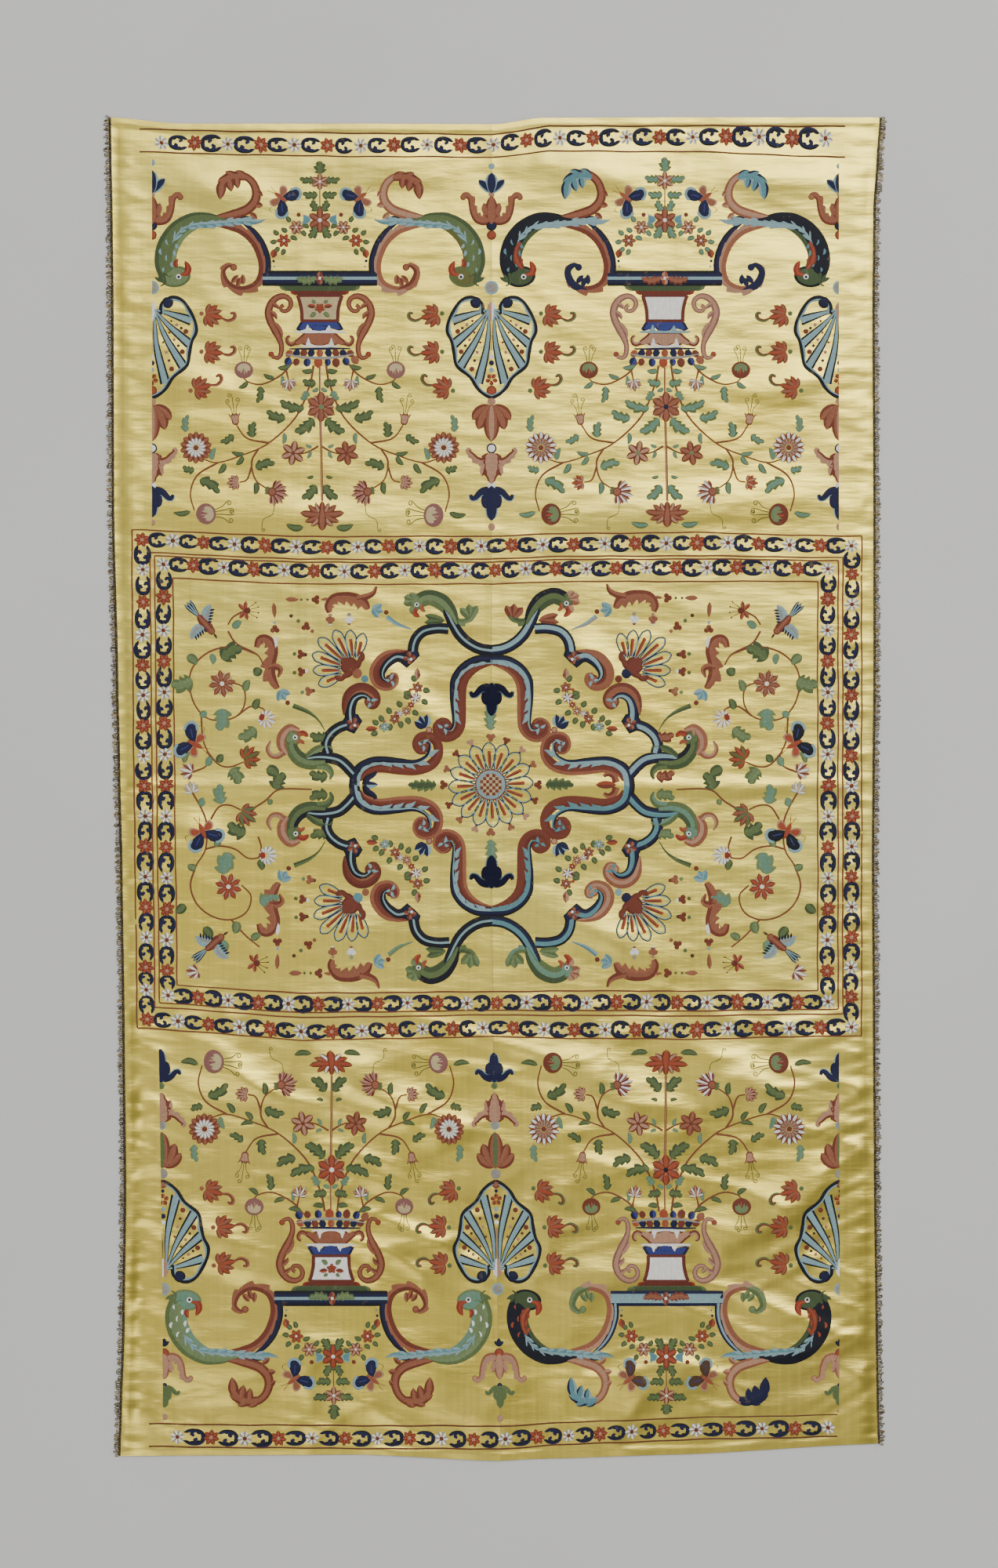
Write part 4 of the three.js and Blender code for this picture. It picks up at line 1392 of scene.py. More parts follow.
def urn_body(pen, dyes):
    """Platform, plinth, urn, its leafy mouth and its two handles."""
    pen.band(even([(-73, 0), (73, 0)], 6), 9.8, dyes["platform"], 0.9)
    for half in pen.both():
        pointed_leaf(half.at(over=0.75), 5, 0, 30, 0, 5.4, dyes["platform_leaf"], 5)
    for turn in (90, 270, 0, 180):
        reach = 8.5 if turn % 180 else 5
        pen.at(turn=turn, over=0.9).blade(rod(0, reach, 5), 3.6, dyes["platform_flower"], 0.6, 0.8)
    pen.at(over=1.1).disc(0, 0, 2.4, "white", sides=7)
    pen.patch([(-52, 9.8), (-50, 13.6), (-44, 16.2), (44, 16.2), (50, 13.6), (52, 9.8)], ("green", "moss"),
              0.6, 0.9,
              (0, 12.5))
    pen.patch([(-38, 16.2), (-36, 20), (-32, 21.4), (32, 21.4), (36, 20), (38, 16.2)], ("red", "rust"), 0.6,
              0.9,
              (0, 18.6))
    inner = [(-26.5, 22.6), (-23.6, 31), (-21.6, 42), (-21, 52.6), (21, 52.6), (21.6, 42), (23.6, 31),
             (26.5, 22.6)]
    pen.at(over=0.3).patch(inner, dyes["urn"], 0.3, 0.9, (0, 38))
    for half in pen.both():
        half.at(over=0.5).band(through([(28.4, 22), (25.4, 31), (23.2, 42), (22.8, 55)], 3), 2.2, "rust", 0.4)
    for y, reach in ((22.4, 29), (54.2, 24)):
        pen.at(over=0.45).band(even([(-reach, y), (reach, y)], 4), 1.8, "rust", 0.4)
    if dyes["urn_flower"]:
        p = pen.at(0, 37, over=1.1)
        blossom(p.at(0, 1, turn=90), 6.4, 5, "brick", "orange", "orange")
        for half in p.both():
            half.at(5, -1, turn=-6).blade(rod(0, 11, 5), 2.8, ("rust", "orange"), 0.5, 1.2)
            leaf(half.at(6, 6, turn=40), 9, 2.6)
            leaf(half.at(5, -6, turn=-34), 6, 2)
    neck = [(-25, 55.6), (-30.5, 65), (-27, 67.4), (-22, 64), (-15.6, 60), (-9, 66.6), (0, 69.4), (7, 66.6),
            (12, 60), (19, 64), (25, 67), (30.5, 65), (25, 55.6)]
    pen.at(over=0.1).patch(neck, ("navy", "blue"), 0.5, 0.86, (0, 60))
    for x, reach in ((-15.6, 11), (11.6, 10)):
        pen.at(x, 69.4, turn=-90, over=0.4).blade(rod(0, reach, 6), 4.2, dyes["under"], 0.1, 0.8)
    pen.at(over=0.35).band(even([(-32, 68.4), (32, 68.4)], 5), [1, 1.8, 1.6, 1.8, 1], dyes["under"], 0.5)
    pen.at(over=0.05).band(even([(-25, 86.6), (25, 86.6)], 5), [0.8, 1.8, 1.8, 0.8], "white", 0.4)
    skirt = [(-21, 70), (-27, 75.5), (-36, 82.4), (-38, 86), (-29, 85.6), (-24, 83), (-19, 86.4), (-11, 83.4),
             (-4, 86.8), (4, 86.8), (11, 83.4), (19, 86.4), (24, 83), (29, 85.6), (38, 86), (36, 82.4),
             (27, 75.5),
             (21, 70)]
    pen.at(over=0.1).patch(skirt, ("brick", dyes["mouth"]), 0.5, 0.86, (0, 77))
    for side in (-1, 1):
        p = pen.at(side * 14.6, 88, turn=-90, over=0.5)
        p.blade(rod(0, 12.4, 6), 3.4, "white", 0.1, 0.8)
    for half in pen.both():
        curl = through([(31, 82), (37, 84.6), (41.4, 81), (41.4, 75.6), (38, 74)], 2.2)
        half.at(over=0.4).band(curl, [2.4, 2.8, 2.6, 2.2, 1.6], ("brick", dyes["mouth"]), 0.6)
    pen.band(wavering([(-39, 89.8), (39, 89.8)], 6, 0.2), [0.8, 1.5, 1.5, 0.8], "navy", 0.5)
    row = ("orange", "navy", "brick", "navy", "orange", "navy", "brick", "navy", "brick")
    for index, tone in enumerate(row):
        k = index - 4
        p = pen.at(k * 9.3 - 0.3 * k, 91.6 + 0.12 * k * k, turn=90 - 7 * k - (22 if k else 0) * np.sign(k),
                   over=0.15)
        p.blade(rod(-1, 9.4, 6), 4.4, (tone, tone if tone != "orange" else "salmon"), 0.45, 0.8)
    rim = through([(-44, 96.6), (-22, 100.6), (0, 101.8), (22, 100.6), (44, 96.6)], 4)
    pen.at(over=0.4).band(rim, [0.8, 1.7, 1.9, 1.7, 0.8], ("pink", "sky", "grey"), 0.5)
    for x, y, tone, turn, size in ((-39, 103, "navy", 120, 1), (-29, 104, "brick", 108, 0.9),
                                   (-16, 104, "navy", 94, 1),
                                   (-2, 103.6, "orange", 90, 1.2), (10, 104, "navy", 88, 0.9),
                                   (20, 104, "brick", 80, 1.1), (32, 103, "navy", 66, 1),
                                   (43, 101, "salmon", 58, 1.1)):
        p = pen.at(x, y, turn=turn, size=size, over=0.1)
        p.blade(rod(-2, 9, 6), 4.6, (tone, tone if tone != "navy" else "blue"), 0.45, 0.8)
    handle = [(61, 99.6), (53.8, 101.6), (49.6, 96), (49, 85.8), (52.4, 75.5), (58.2, 63.8), (63.4, 53.5),
              (65.6, 43.3), (62.6, 33), (55.3, 25), (45.8, 22.8), (38.6, 27), (37, 34.5), (41.4, 41),
              (48, 41.4),
              (50, 37), (46, 34.4)]
    halves = [2.4, 2.8, 3.2, 3.4, 4.2, 5.2, 5.2, 5, 5, 4.8, 4.4, 3.9, 3.4, 3.1, 2.8, 2.6, 2.4]
    edge, fill = dyes["handle"]
    for half in pen.both():
        half.band(through(handle, 2.6), halves, (edge, fill, fill, edge), 0.8)
        half.at(over=0.2).disc(62, 97, 3.8, (edge, "orange"), 0.7)
        for x, y, turn, length, wide in ((56, 60, 118, 19, 4.2), (52, 67, 112, 10, 3.2),
                                         (60, 45, 130, 9, 3.2),
                                         (58, 34, 140, 8, 3)):
            barb = half.at(x, y, turn=turn, over=0.35)
            barb.blade(through([(-5, -1), (length * 0.5, 0.8), (length, -1.2)], 2.4), wide, (fill, edge),
                       0.4, 1.3)


def curl_leaf(pen, stem, tones, outline):
    """The scroll above a parrot that ends in a large hanging leaf."""
    edge, fill = tones
    line = [(140, -77), (123, -79), (106, -82.5), (92, -88), (83, -98), (81, -110), (86, -123), (96, -131),
            (108, -132.5)]
    pen.band(through(line, 2.6), [1, 4, 6, 6.6, 6.4, 5.8, 5.2, 5, 5], (stem[0], stem[1], stem[1], stem[0]),
             0.8)
    for x, y, turn, length, half in ((86, -84, -62, 12, 3.6), (80, -98, -10, 11, 4), (79, -113, -64, 12, 4)):
        barb = pen.at(x + 3, y + 4 if turn > -50 else y + 1, turn=180 + turn * 0.6, over=0.2)
        barb.blade(rod(0, length, 6), half, stem, 0.4, 1.4)
    spine = through([(93, -129), (108, -131), (119, -127), (126, -119)], 2.4)
    pen.at(over=0.15).band(spine, [4, 6.4, 7, 5.4], (edge, fill, fill, outline), 0.8)
    lobes = ((125, -122, 84, 22, 6.6), (116, -126, 102, 16, 5.8), (106, -128, 96, 14, 4.8),
             (118, -129, 26, 14, 4.8),
             (109, -131, -28, 13, 5.2), (97, -132, -32, 12, 4.6))
    for x, y, turn, length, half in lobes:
        lobe = pen.at(x, y, turn=turn, over=0.3)
        lobe.blade(rod(-3, length, 8), half, (edge, fill, fill, outline), 0.42, 1.5)


def parrot(pen, dyes):
    """A parrot-headed scroll that curls down beside the platform."""
    body, light, dark = dyes["parrot"]
    line = through([(118, -74), (142, -76), (163, -72), (182, -59), (194, -40), (197, -20), (192, -4)], 3)
    pen.band(line, [1.5, 7, 11, 13, 14, 14, 13], (light, body, body, body, dark), 1.0)
    head = arc(0, 0, 1, 0, 345, 0.26) * np.array([19.5, 13.5])
    pen.at(184, -2, turn=8, over=0.15).patch(head, (body, light), 0.9, 0.8)
    tongue = through([(69, -75), (80, -72), (95, -72.5), (106, -72), (125, -70.5), (140, -69), (158, -68),
                      (172, -64),
                      (182, -55), (189, -43)], 2.4)
    pen.at(over=0.6).band(tongue, [0.3, 3.4, 3.6, 3, 4, 4.4, 4.8, 4.4, 4, 3, 0.4], dyes["tongue"], 0.6)
    barbs(pen.at(over=0.75), tongue[7:], 13, 2.8, dyes["tongue"][1])
    if dyes["patch"]:
        patch = through([(184, -46), (190, -36), (189, -22), (182, -12)], 2.4)
        pen.at(over=0.7).band(patch, [2, 6, 7.5, 4], (dyes["patch"], "orange", dyes["patch"]), 0.6,
                              [4, 3, 6, 2])
    for x, y, turn, size in ((193, -42, -70, 8), (184, -28, -80, 8), (195, -22, -88, 8), (188, -14, -84, 7),
                             (202, -30, -80, 8), (180, -38, -60, 7), (199, -8, -96, 6)):
        feather = pen.at(x, y, turn=turn, over=0.8)
        feather.blade(through([(0, 0), (size / 2, 1.2), (size, 0)], 1.5), 1.8, dyes["feather"], 0.5, 0.9, 0.4)
    crest = through([(203, 10), (197, 5), (199, -6), (192, -2), (188, -4)], 1.8)
    pen.at(over=0.9).band(crest, [0.6, 1.4, 1.3, 1.1, 0.5], dyes["crest"], 0.4)
    beak = pen.at(173, -9, over=0.6)
    beak.blade(through([(6, 5), (-2, 3), (-5, -4), (-1, -13)], 2), 4.8, ("red", "orange", "red"), 0.36, 1.0)
    beak.blade(through([(9, -5), (11, -10), (8, -16)], 2), 3.0, ("red", "orange"), 0.35, 1.1)
    pen.at(over=1.0).disc(180, -2, 3.6, "white", 0.5, 10)
    pen.at(over=1.4).disc(180, -1.6, 1.9, "ink", 0.4, 8)
    for turn, length in ((38, 13), (10, 12)):
        pen.at(199, 5, turn=turn - 66, over=0.6).blade(rod(0, length, 5), 2.4, dyes["crest"])


def scrolls(pen, dyes):
    """The scrolled frame on each side of the platform."""
    for half, side in zip(pen.both(), ("right", "left")):
        own = dict(dyes, **dyes[side])
        half.band(through([(67, -4), (67, -24), (74, -45), (86, -61), (100, -72)], 3),
                  [4.6, 4.4, 4.2, 3.8, 1],
                  dyes["brace"], 0.8)
        c_line = [(109, -13), (116, -17), (124, -8), (117, 8), (99, 15), (79, 7), (72, -14), (79, -40),
                  (93, -57),
                  (110, -65), (132, -67)]
        acanthus(half.at(over=0.1), c_line, [2.4, 3.6, 4.6, 5, 5.6, 6, 6, 6.2, 6, 5, 0.8], own["scroll"], 10,
                 0.8)
        for x, y, turn in ((104, 7, -112), (98, 4, -88), (110, 3, -130)):
            half.at(x, y, turn=turn, over=0.3).blade(rod(-4, 9, 6), 3.4, own["knob"])
        if own["knob"] != own["scroll"]:
            half.at(over=0.3).band(through(c_line[:5], 2.6), [2.4, 3.8, 4.8, 5.2, 1], own["knob"], 0.8)
        half.at(over=0.4).disc(110, -14, 4.6, own["knob"], 0.7)
        half.at(over=0.45).blade(through([(106, -73), (94, -76), (84, -75)], 2.5), 3.4,
                                 ("ink", "sky", "sky", "ink"))
        curl_leaf(half, own["scroll"], own["curl"], own["outline"])
        parrot(half.at(over=0.1), own)


def garland(pen, dyes):
    """The flower stem and hanging flowers between the two scrolls."""
    pen.band(through([(0, -84), (0, -112)], 4), 0.7, "stem", 0.4)
    leaf(pen.at(0, -135, turn=-90), 18, 7, dyes["leaf"], 2, 0)
    blossom(pen.at(0, -124, turn=90, over=0.2), 11.5, 6, dyes["edge"], "pink", "white")
    blossom(pen.at(0, -74, turn=90, over=0.3), 15, 6, dyes["edge"], dyes["petal"], "white")
    for half in pen.both():
        for x, y, turn, length, width in ((7, -127, -4, 19, 5), (3, -107, -4, 19, 5), (3, -86, -66, 15, 5),
                                          (5, -66, 58, 17, 6)):
            leaf(half.at(x, y, turn=turn), length, width, dyes["leaf"], 2)
        half.at(14, -74, turn=-12).patch([(0, 4), (8, 8), (7, 1), (9, -6), (0, -5), (-3, 0)],
                                         ("sky", "teal"), 0.5)
        half.disc(27, -81, 2.8, "brick")
        blossom(half.at(30, -65, over=0.2), 9.5, 6, dyes["edge"], "pink", "white")
        blossom(half.at(46, -48, over=0.2), 9, 6, dyes["edge"], dyes["last_flower"], "white")
        for x, y, turn, length in ((22, -68, 150, 9), (31, -56, -82, 10), (37, -72, -60, 9),
                                   (41, -60, -30, 9),
                                   (38, -52, 160, 10), (55, -48, 10, 9), (52, -56, -40, 9), (46, -38, 70, 9),
                                   (24, -60, 130, 9), (52, -40, 40, 9)):
            leaf(half.at(x, y, turn=turn), length, 2.9, dyes["leaf"])
        half.at(over=0.2).blade(np.linspace((57, -38), (60, -26), 4), 4.4, ("brick", "orange"), 0.6, 0.9)
        half.beads((59, -22, 1.8, "navy"), (58, -15, 1.2, "teal"))
        butterfly(half.at(50 if half is not pen else 52, -103, turn=100, size=0.92), *dyes["butterfly"])


URN_DYES = dict(
    edge="brick", petal="salmon", heart="sage", tips="pink", leaf=("moss", "green"),
    young_leaf=("sage", "mint"),
    stem="brick", ring="salmon", inner="white", star="salmon", left_star="pink", star_heart="brick",
    fruit=("mauve", "pink", "cream"), fan="pink", fan_edge="maroon", bud="maroon", bud_core="pink",
    platform_leaf=("green", "sage"), platform_flower=("brick", "salmon"), urn="cream", urn_flower=True,
    under="white", mouth="salmon", handle=("brick", "salmon"), last_flower="orange",
    parrot=("green", "sage", "moss"), tongue=("teal", "sky"), curl=("brick", "salmon"), outline="rust",
    feather="sky", crest="moss", knob=("brick", "salmon"), scroll=("brick", "salmon"),
    platform=("ink", "navy", "sky", "navy", "ink"), brace=("navy", "navy", "ink"),
    butterfly=("navy", "sky", "salmon"), patch=None, left={}, right={})
URNS = [
    dict(name="urn_upper_left", x=-219, y=648, down=True, dyes=dict(
        URN_DYES, right=dict(scroll=("salmon", "pink"), parrot=("green", "olive", "moss")))),
    dict(name="urn_upper_right", x=221, y=648, down=True, dyes=dict(
        URN_DYES, heart="navy", fruit=("brick", "orange", "sage"), ring="white", inner="salmon", fan="white",
        fan_edge="brick", star="salmon", star_heart="sage", urn="white", urn_flower=False, under="sky",
        mouth="pink", handle=("mauve", "pink"), platform_leaf=("brick", "salmon"),
        platform_flower=("orange", "pink"), parrot=("ink", "moss", "ink"), tongue=("sky", "sky"),
        curl=("sky", "teal"), outline="navy", knob=("navy", "navy"), bud="brick", bud_core="orange",
        leaf=("green", "mint"), feather="teal", last_flower="salmon",
        patch="brick", left=dict(scroll=("brick", "salmon")), right=dict(scroll=("salmon", "pink")))),
    dict(name="urn_lower_left", x=-219, y=-653, down=False, dyes=dict(
        URN_DYES, parrot=("sage", "mint", "green"), feather="white", urn="white", fan="pink", crest="green",
        heart="white", tips="white", petal="orange", outline="brick")),
    dict(name="urn_lower_right", x=222, y=-653, down=False, dyes=dict(
        URN_DYES, parrot=("ink", "moss", "ink"), patch="brick", feather="orange", knob=("green", "sage"),
        urn="white",
        urn_flower=False, heart="ink", fruit=("brick", "salmon", "sage"), ring="white", inner="salmon",
        fan="white", fan_edge="maroon", outline="navy", platform_leaf=("brick", "salmon"),
        butterfly=("brown", "sky", "salmon"), handle=("mauve", "pink"), mouth="pink", petal="orange",
        platform=("navy", "sky", "sky", "sky", "navy"), brace=("navy", "sky", "navy"),
        scroll=("salmon", "pink"),
        left=dict(curl=("sky", "teal")), right=dict(curl=("navy", "navy")))),
]


def urns():
    """Four pieces of silk work, one for each urn with its scrolls and spray."""
    for number, urn in enumerate(URNS):
        def draw(pen, urn=urn):
            own = pen.at(urn["x"], urn["y"], turn=180 if urn["down"] else 0, flip=urn["down"])
            scrolls(own, urn["dyes"])
            urn_body(own.at(over=0.1), urn["dyes"])
            garland(own, urn["dyes"])
        embroidery(urn["name"], draw, 10 + number)

        def grow(pen, urn=urn):
            own = pen.at(urn["x"], urn["y"], turn=180 if urn["down"] else 0, flip=urn["down"])
            spray(own, urn["dyes"])
        embroidery(urn["name"].replace("urn", "spray"), grow, 20 + number)


# Motifs of the columns between the urns
def fleur(pen, tones, size=1.0, long_arms=False):
    """A long middle lobe between two arms that curl outward, growing along x."""
    pen = pen.at(size=size)
    edge, fill = tones
    rim = (edge, fill, fill, fill, fill, fill)
    for half in pen.twins():
        if long_arms:
            arm = through([(5, 1), (2, 10), (4, 17), (4, 23), (9, 27), (14, 25)], 2.2)
            half.band(arm, [8, 6, 4.4, 3.8, 3.6, 2.6], (edge, fill, fill), 0.7)
            half.at(over=0.1).blade(through([(-2, 4), (10, 8), (20, 7)], 2.5), 6, (edge, fill, fill), 0.45,
                                    0.8)
        else:
            arm = through([(4, 1), (3, 8), (5, 14), (11, 20), (12, 25), (7, 27)], 2.0)
            half.band(arm, [7, 6.4, 5, 4.2, 3.8, 2.2], rim[::-1], 0.7)
            half.at(over=0.1).blade(through([(2, 5), (14, 8.4), (24, 7.4)], 2.4), 5, rim[::-1], 0.5, 0.8)
    reach = 26 if long_arms else 38
    pen.at(over=0.25).blade(rod(-4, reach, 12), 8 if long_arms else 8.6, rim + rim[-2::-1], 0.5, 0.7)


def crown(pen, tones, size=1.0):
    """Three pointed leaves that flare from one foot, growing along x."""
    pen = pen.at(size=size)
    edge, fill = tones
    for turn, length, half, over in ((46, 24, 6.6, 0), (-46, 24, 6.6, 0), (0, 28, 8.6, 0.3)):
        leaf_pen = pen.at(2, 0, turn=turn, over=over)
        leaf_pen.blade(rod(-3, length, 9), half, (edge, fill, fill, fill, fill, edge), 0.5, 1.1)


def bell_body(pen, tones, size=1.0):
    """A scalloped body along x, with two arms that curl back beside its foot."""
    pen = pen.at(size=size)
    edge, fill = tones
    for half in pen.twins():
        arm = [(8, 6), (9, 13), (6, 20), (1, 25), (-4, 30), (-8, 27)]
        acanthus(half, arm, [5, 5, 4.6, 4.2, 3.6, 2.4], (edge, fill, fill), 4, 0.6)
        half.at(12, 8, turn=16, over=0.1).blade(rod(-6, 16, 6), 5, (fill, edge), 0.5, 1.0)
    scallops = [7, 13, 12, 14, 11.5, 13, 9.5, 10, 6, 5, 1]
    pen.at(over=0.25).band(rod(-2, 37, 22), scallops, (edge, fill, fill, fill, edge), 0.7)


def artichoke(pen, edge, fill, core, size=1.0):
    """A closed flower of overlapping pointed petals, growing along x."""
    pen = pen.at(size=size)
    for turn, length, half, y in ((56, 27, 7.5, 3), (28, 32, 8.0, 3)):
        for side in (1, -1):
            p = pen.at(0, y * side, turn=side * turn, over=0.3 - turn / 200)
            line = through([(-2, 0), (length * 0.5, 1.5 * side), (length, -1.5 * side)], 3)
            p.blade(line, half, (edge, fill, fill, edge), 0.5, 1.2)
    pen.at(over=0.35).blade(rod(-3, 44, 12), 10.5, (edge, fill, core, core, fill, edge), 0.5, 1.2)


def bracket(pen, tones, size=1.0):
    """A leafy bracket: a lobed middle between two arms that curl to knobs, growing along x."""
    pen = pen.at(size=size)
    edge, fill = tones
    for half in pen.twins():
        arm = [(2, 2), (0, 11), (3, 19), (12, 24), (21, 26), (30, 28), (34, 34), (31, 39)]
        acanthus(half, arm, [6.6, 7, 6.6, 5.6, 5, 4.6, 4.4, 3], (edge, fill, fill, fill), 5, 0.6)
        half.at(over=0.2).disc(31, 38, 4.2, (edge, fill), 0.6)
        half.at(4, 4, turn=20, over=0.15).blade(rod(0, 20, 6), 5.6, (fill, fill, edge), 0.5, 1.0)
    pen.at(over=0.3).blade(rod(-5, 33, 10), 9, (edge, fill, fill, fill, edge), 0.4, 1.0)


# Half a shell's edge, and the ends of its ribs
SHELL_EDGE = [(-12, 12), (-13, -1), (-25, -9), (-38, -5), (-50, 12), (-56, 32), (-50, 46), (-47, 62),
              (-43, 78), (-27, 91), (-18, 105), (-8, 114), (0, 118)]
SHELL_RIBS = [(-50, 20), (-48, 50), (-40, 79), (-17, 100)]


def shell(pen, accent="brick"):
    """A ribbed shell, opening along y from its two curls."""
    for half in pen.both():
        line = through(SHELL_EDGE, 2.8)
        bays = 1 + 0.3 * np.sin(np.linspace(0, 1, len(line)) * 46)
        half.band(line, 3.0, ("ink", "ink", "sky"), 0.8, 3.2 * bays)
        half.at(over=0.2).disc(-20, -3, 7.5, ("ink", "navy"), 0.8)
        for x, y in SHELL_RIBS:
            rib = through([(-3, 6), (x * 0.5 + 3, y * 0.5 + 1), (x, y)], 4)
            half.band(rib, [1.0, 3.2, 5.2, 6.6], ("ink", "sky", "sky", "sky", "ink"), 0.6)
        for (xa, ya), (xb, yb) in zip(SHELL_RIBS, SHELL_RIBS[1:]):
            for share, radius, tone in ((0.5, 1.6, "brick"), (0.64, 2.2, "pink"), (0.76, 2, "brown"),
                                        (0.88, 3.4, accent)):
                half.disc((xa + xb) / 2 * share, (ya + yb) / 2 * share + 3, radius, tone, 0.4, 7)
    pen.at(over=0.3).blade(np.linspace((0, -4), (0, 20), 6), 6, ("white", "pink"), 0.5, 0.7)
    pen.band(even([(0, 20), (0, 58)], 5), 0.6, "pink", 0.3)
    pen.beads((0, 66, 3, "white"), (0, 74, 3.4, "navy"), (0, 83, 3, "sky"), (0, 106, 2.4, "navy"))
    petals(pen.at(0, 95, turn=90, over=0.2), 5, 1, 8, 2.8, (accent, "orange"))


def column_buds(pen, tones, tail):
    """Three lotus buds with curled tails on one side of a shell."""
    for x, y, turn in ((78, 12, 12), (78, 60, 4), (64, 108, -16)):
        p = pen.at(x - 10, y, turn=turn)
        bud(p, *tones, size=0.95)
        p.disc(-5, 0, 3, tail, 0.5)
        curl = through([(20, 0), (30, 2), (37, -3), (36, -9), (31, -8)], 2)
        p.band(curl, [1.2, 1.8, 2.2, 2.6, 1.4], (tail, tones[0]), 0.5)


# Each row of a column: what it is, where along the column, its size and tones, and which way it grows
COLUMN_UPPER = [
    ("ball", 795, 4.2, ("sky", "sky")), ("crown", 757, 0.95, ("sky", "navy"), 1),
    ("ball", 755, 4, ("pink", "pink")),
    ("bracket", 722, 0.95, ("brick", "salmon"), 1), ("ball", 715.5, 7, ("ink", "navy")),
    ("ball", 703, 6.2, ("brick", "orange")), ("ball", 636, 9, ("sky", "grey")), ("shell", 614, 1.0, None, -1),
    ("ball", 504.5, 6.6, ("brick", "orange")), ("ball", 491, 5.4, ("pink", "pink")),
    ("artichoke", 484, 1.0, ("brick", "salmon", "pink"), -1), ("ball", 431, 6.6, ("navy", "white")),
    ("bell", 423, 1.0, ("brick", "pink"), -1), ("ball", 383, 5.6, ("white", "white")),
    ("fleur", 379, 1.0, ("sky", "navy"), -1), ("ball", 333, 4.6, ("pink", "pink")),
]
COLUMN_LOWER = [
    ("fleur", -374, 0.9, ("sky", "navy"), 1), ("ball", -382, 4.4, ("sage", "green")),
    ("bell", -426, 0.95, ("brick", "pink"), 1), ("ball", -432, 6, ("sky", "grey")),
    ("artichoke", -484, 0.98, ("brick", "salmon", "green"), 1), ("ball", -494, 6.6, ("grey", "grey")),
    ("ball", -507, 5.6, ("brick", "salmon")), ("shell", -622, 1.0, None, 1),
    ("ball", -641, 8, ("sky", "grey")),
    ("crown", -714, 0.34, ("ink", "navy"), 1), ("ball", -723, 6.4, ("brick", "orange")),
    ("bracket", -728, 0.86, ("salmon", "pink"), -1), ("ball", -764, 3.4, ("navy", "navy")),
    ("fleur", -766, 0.68, ("sage", "green"), -1), ("ball", -804, 4.2, ("pink", "pink")),
]


def column(pen, rows, tones, tail):
    """One column of balls, brackets, bells, a closed flower and a shell, from a table."""
    shapes = dict(fleur=fleur, crown=crown, bell=bell_body, bracket=bracket)
    for kind, place, size, dyed, *way in rows:
        p = pen.at(0, place, turn=90 * (way[0] if way else 1), over=0.1)
        if kind == "ball":
            p.disc(0, 0, size, dyed, 0.7, 12)
        elif kind == "artichoke":
            artichoke(p, *dyed, size)
        elif kind in shapes:
            shapes[kind](p, dyed, size)
        else:
            own = pen.at(0, place, turn=0 if way[0] > 0 else 180)
            shell(own, tones[0])
            for half in own.both():
                column_buds(half, tones, tail)


def columns():
    """The middle column whole, the side columns cut straight where the pattern ends."""
    reds = ("brick", "salmon", "orange")
    left_end, right_end = -433, 443
    for rows, part, axis in ((COLUMN_UPPER, "upper", -433), (COLUMN_LOWER, "lower", -431)):
        embroidery("column_" + part, lambda pen: column(pen, rows, reds, "green"), 30)
        embroidery("half_column_left_" + part, lambda pen: column(pen.at(axis), rows, reds, "salmon"), 31,
                   ((-1, left_end),))
        embroidery("half_column_right_" + part, lambda pen: column(pen.at(444), rows, reds, "green"), 32,
                   ((1, right_end),))


# Middle field. The pen stands on the medallion
def hollow_petal(pen, inner, outer, half, edge="ink", trim="sky", bar="orange"):
    """An outlined petal with a stitched bar down its middle."""
    line = through([(inner, -1.2), (outer * 0.62, -half * 0.9), (outer - 7, -half), (outer - 1, -half * 0.45),
                    (outer + 1, 0), (outer - 1, half * 0.45), (outer - 7, half), (outer * 0.62, half * 0.9),
                    (inner, 1.2)], 3)
    pen.band(line, 1.15, (trim, edge), 0.5)
    pen.band(even([(inner + 2, 0), (outer - 11, 0)], 5), [1.1, 1.9, 2.2, 1.8], (bar, "brick"), 0.5)
    pen.disc(outer - 12, 0, 2.5, bar, 0.6, 8)


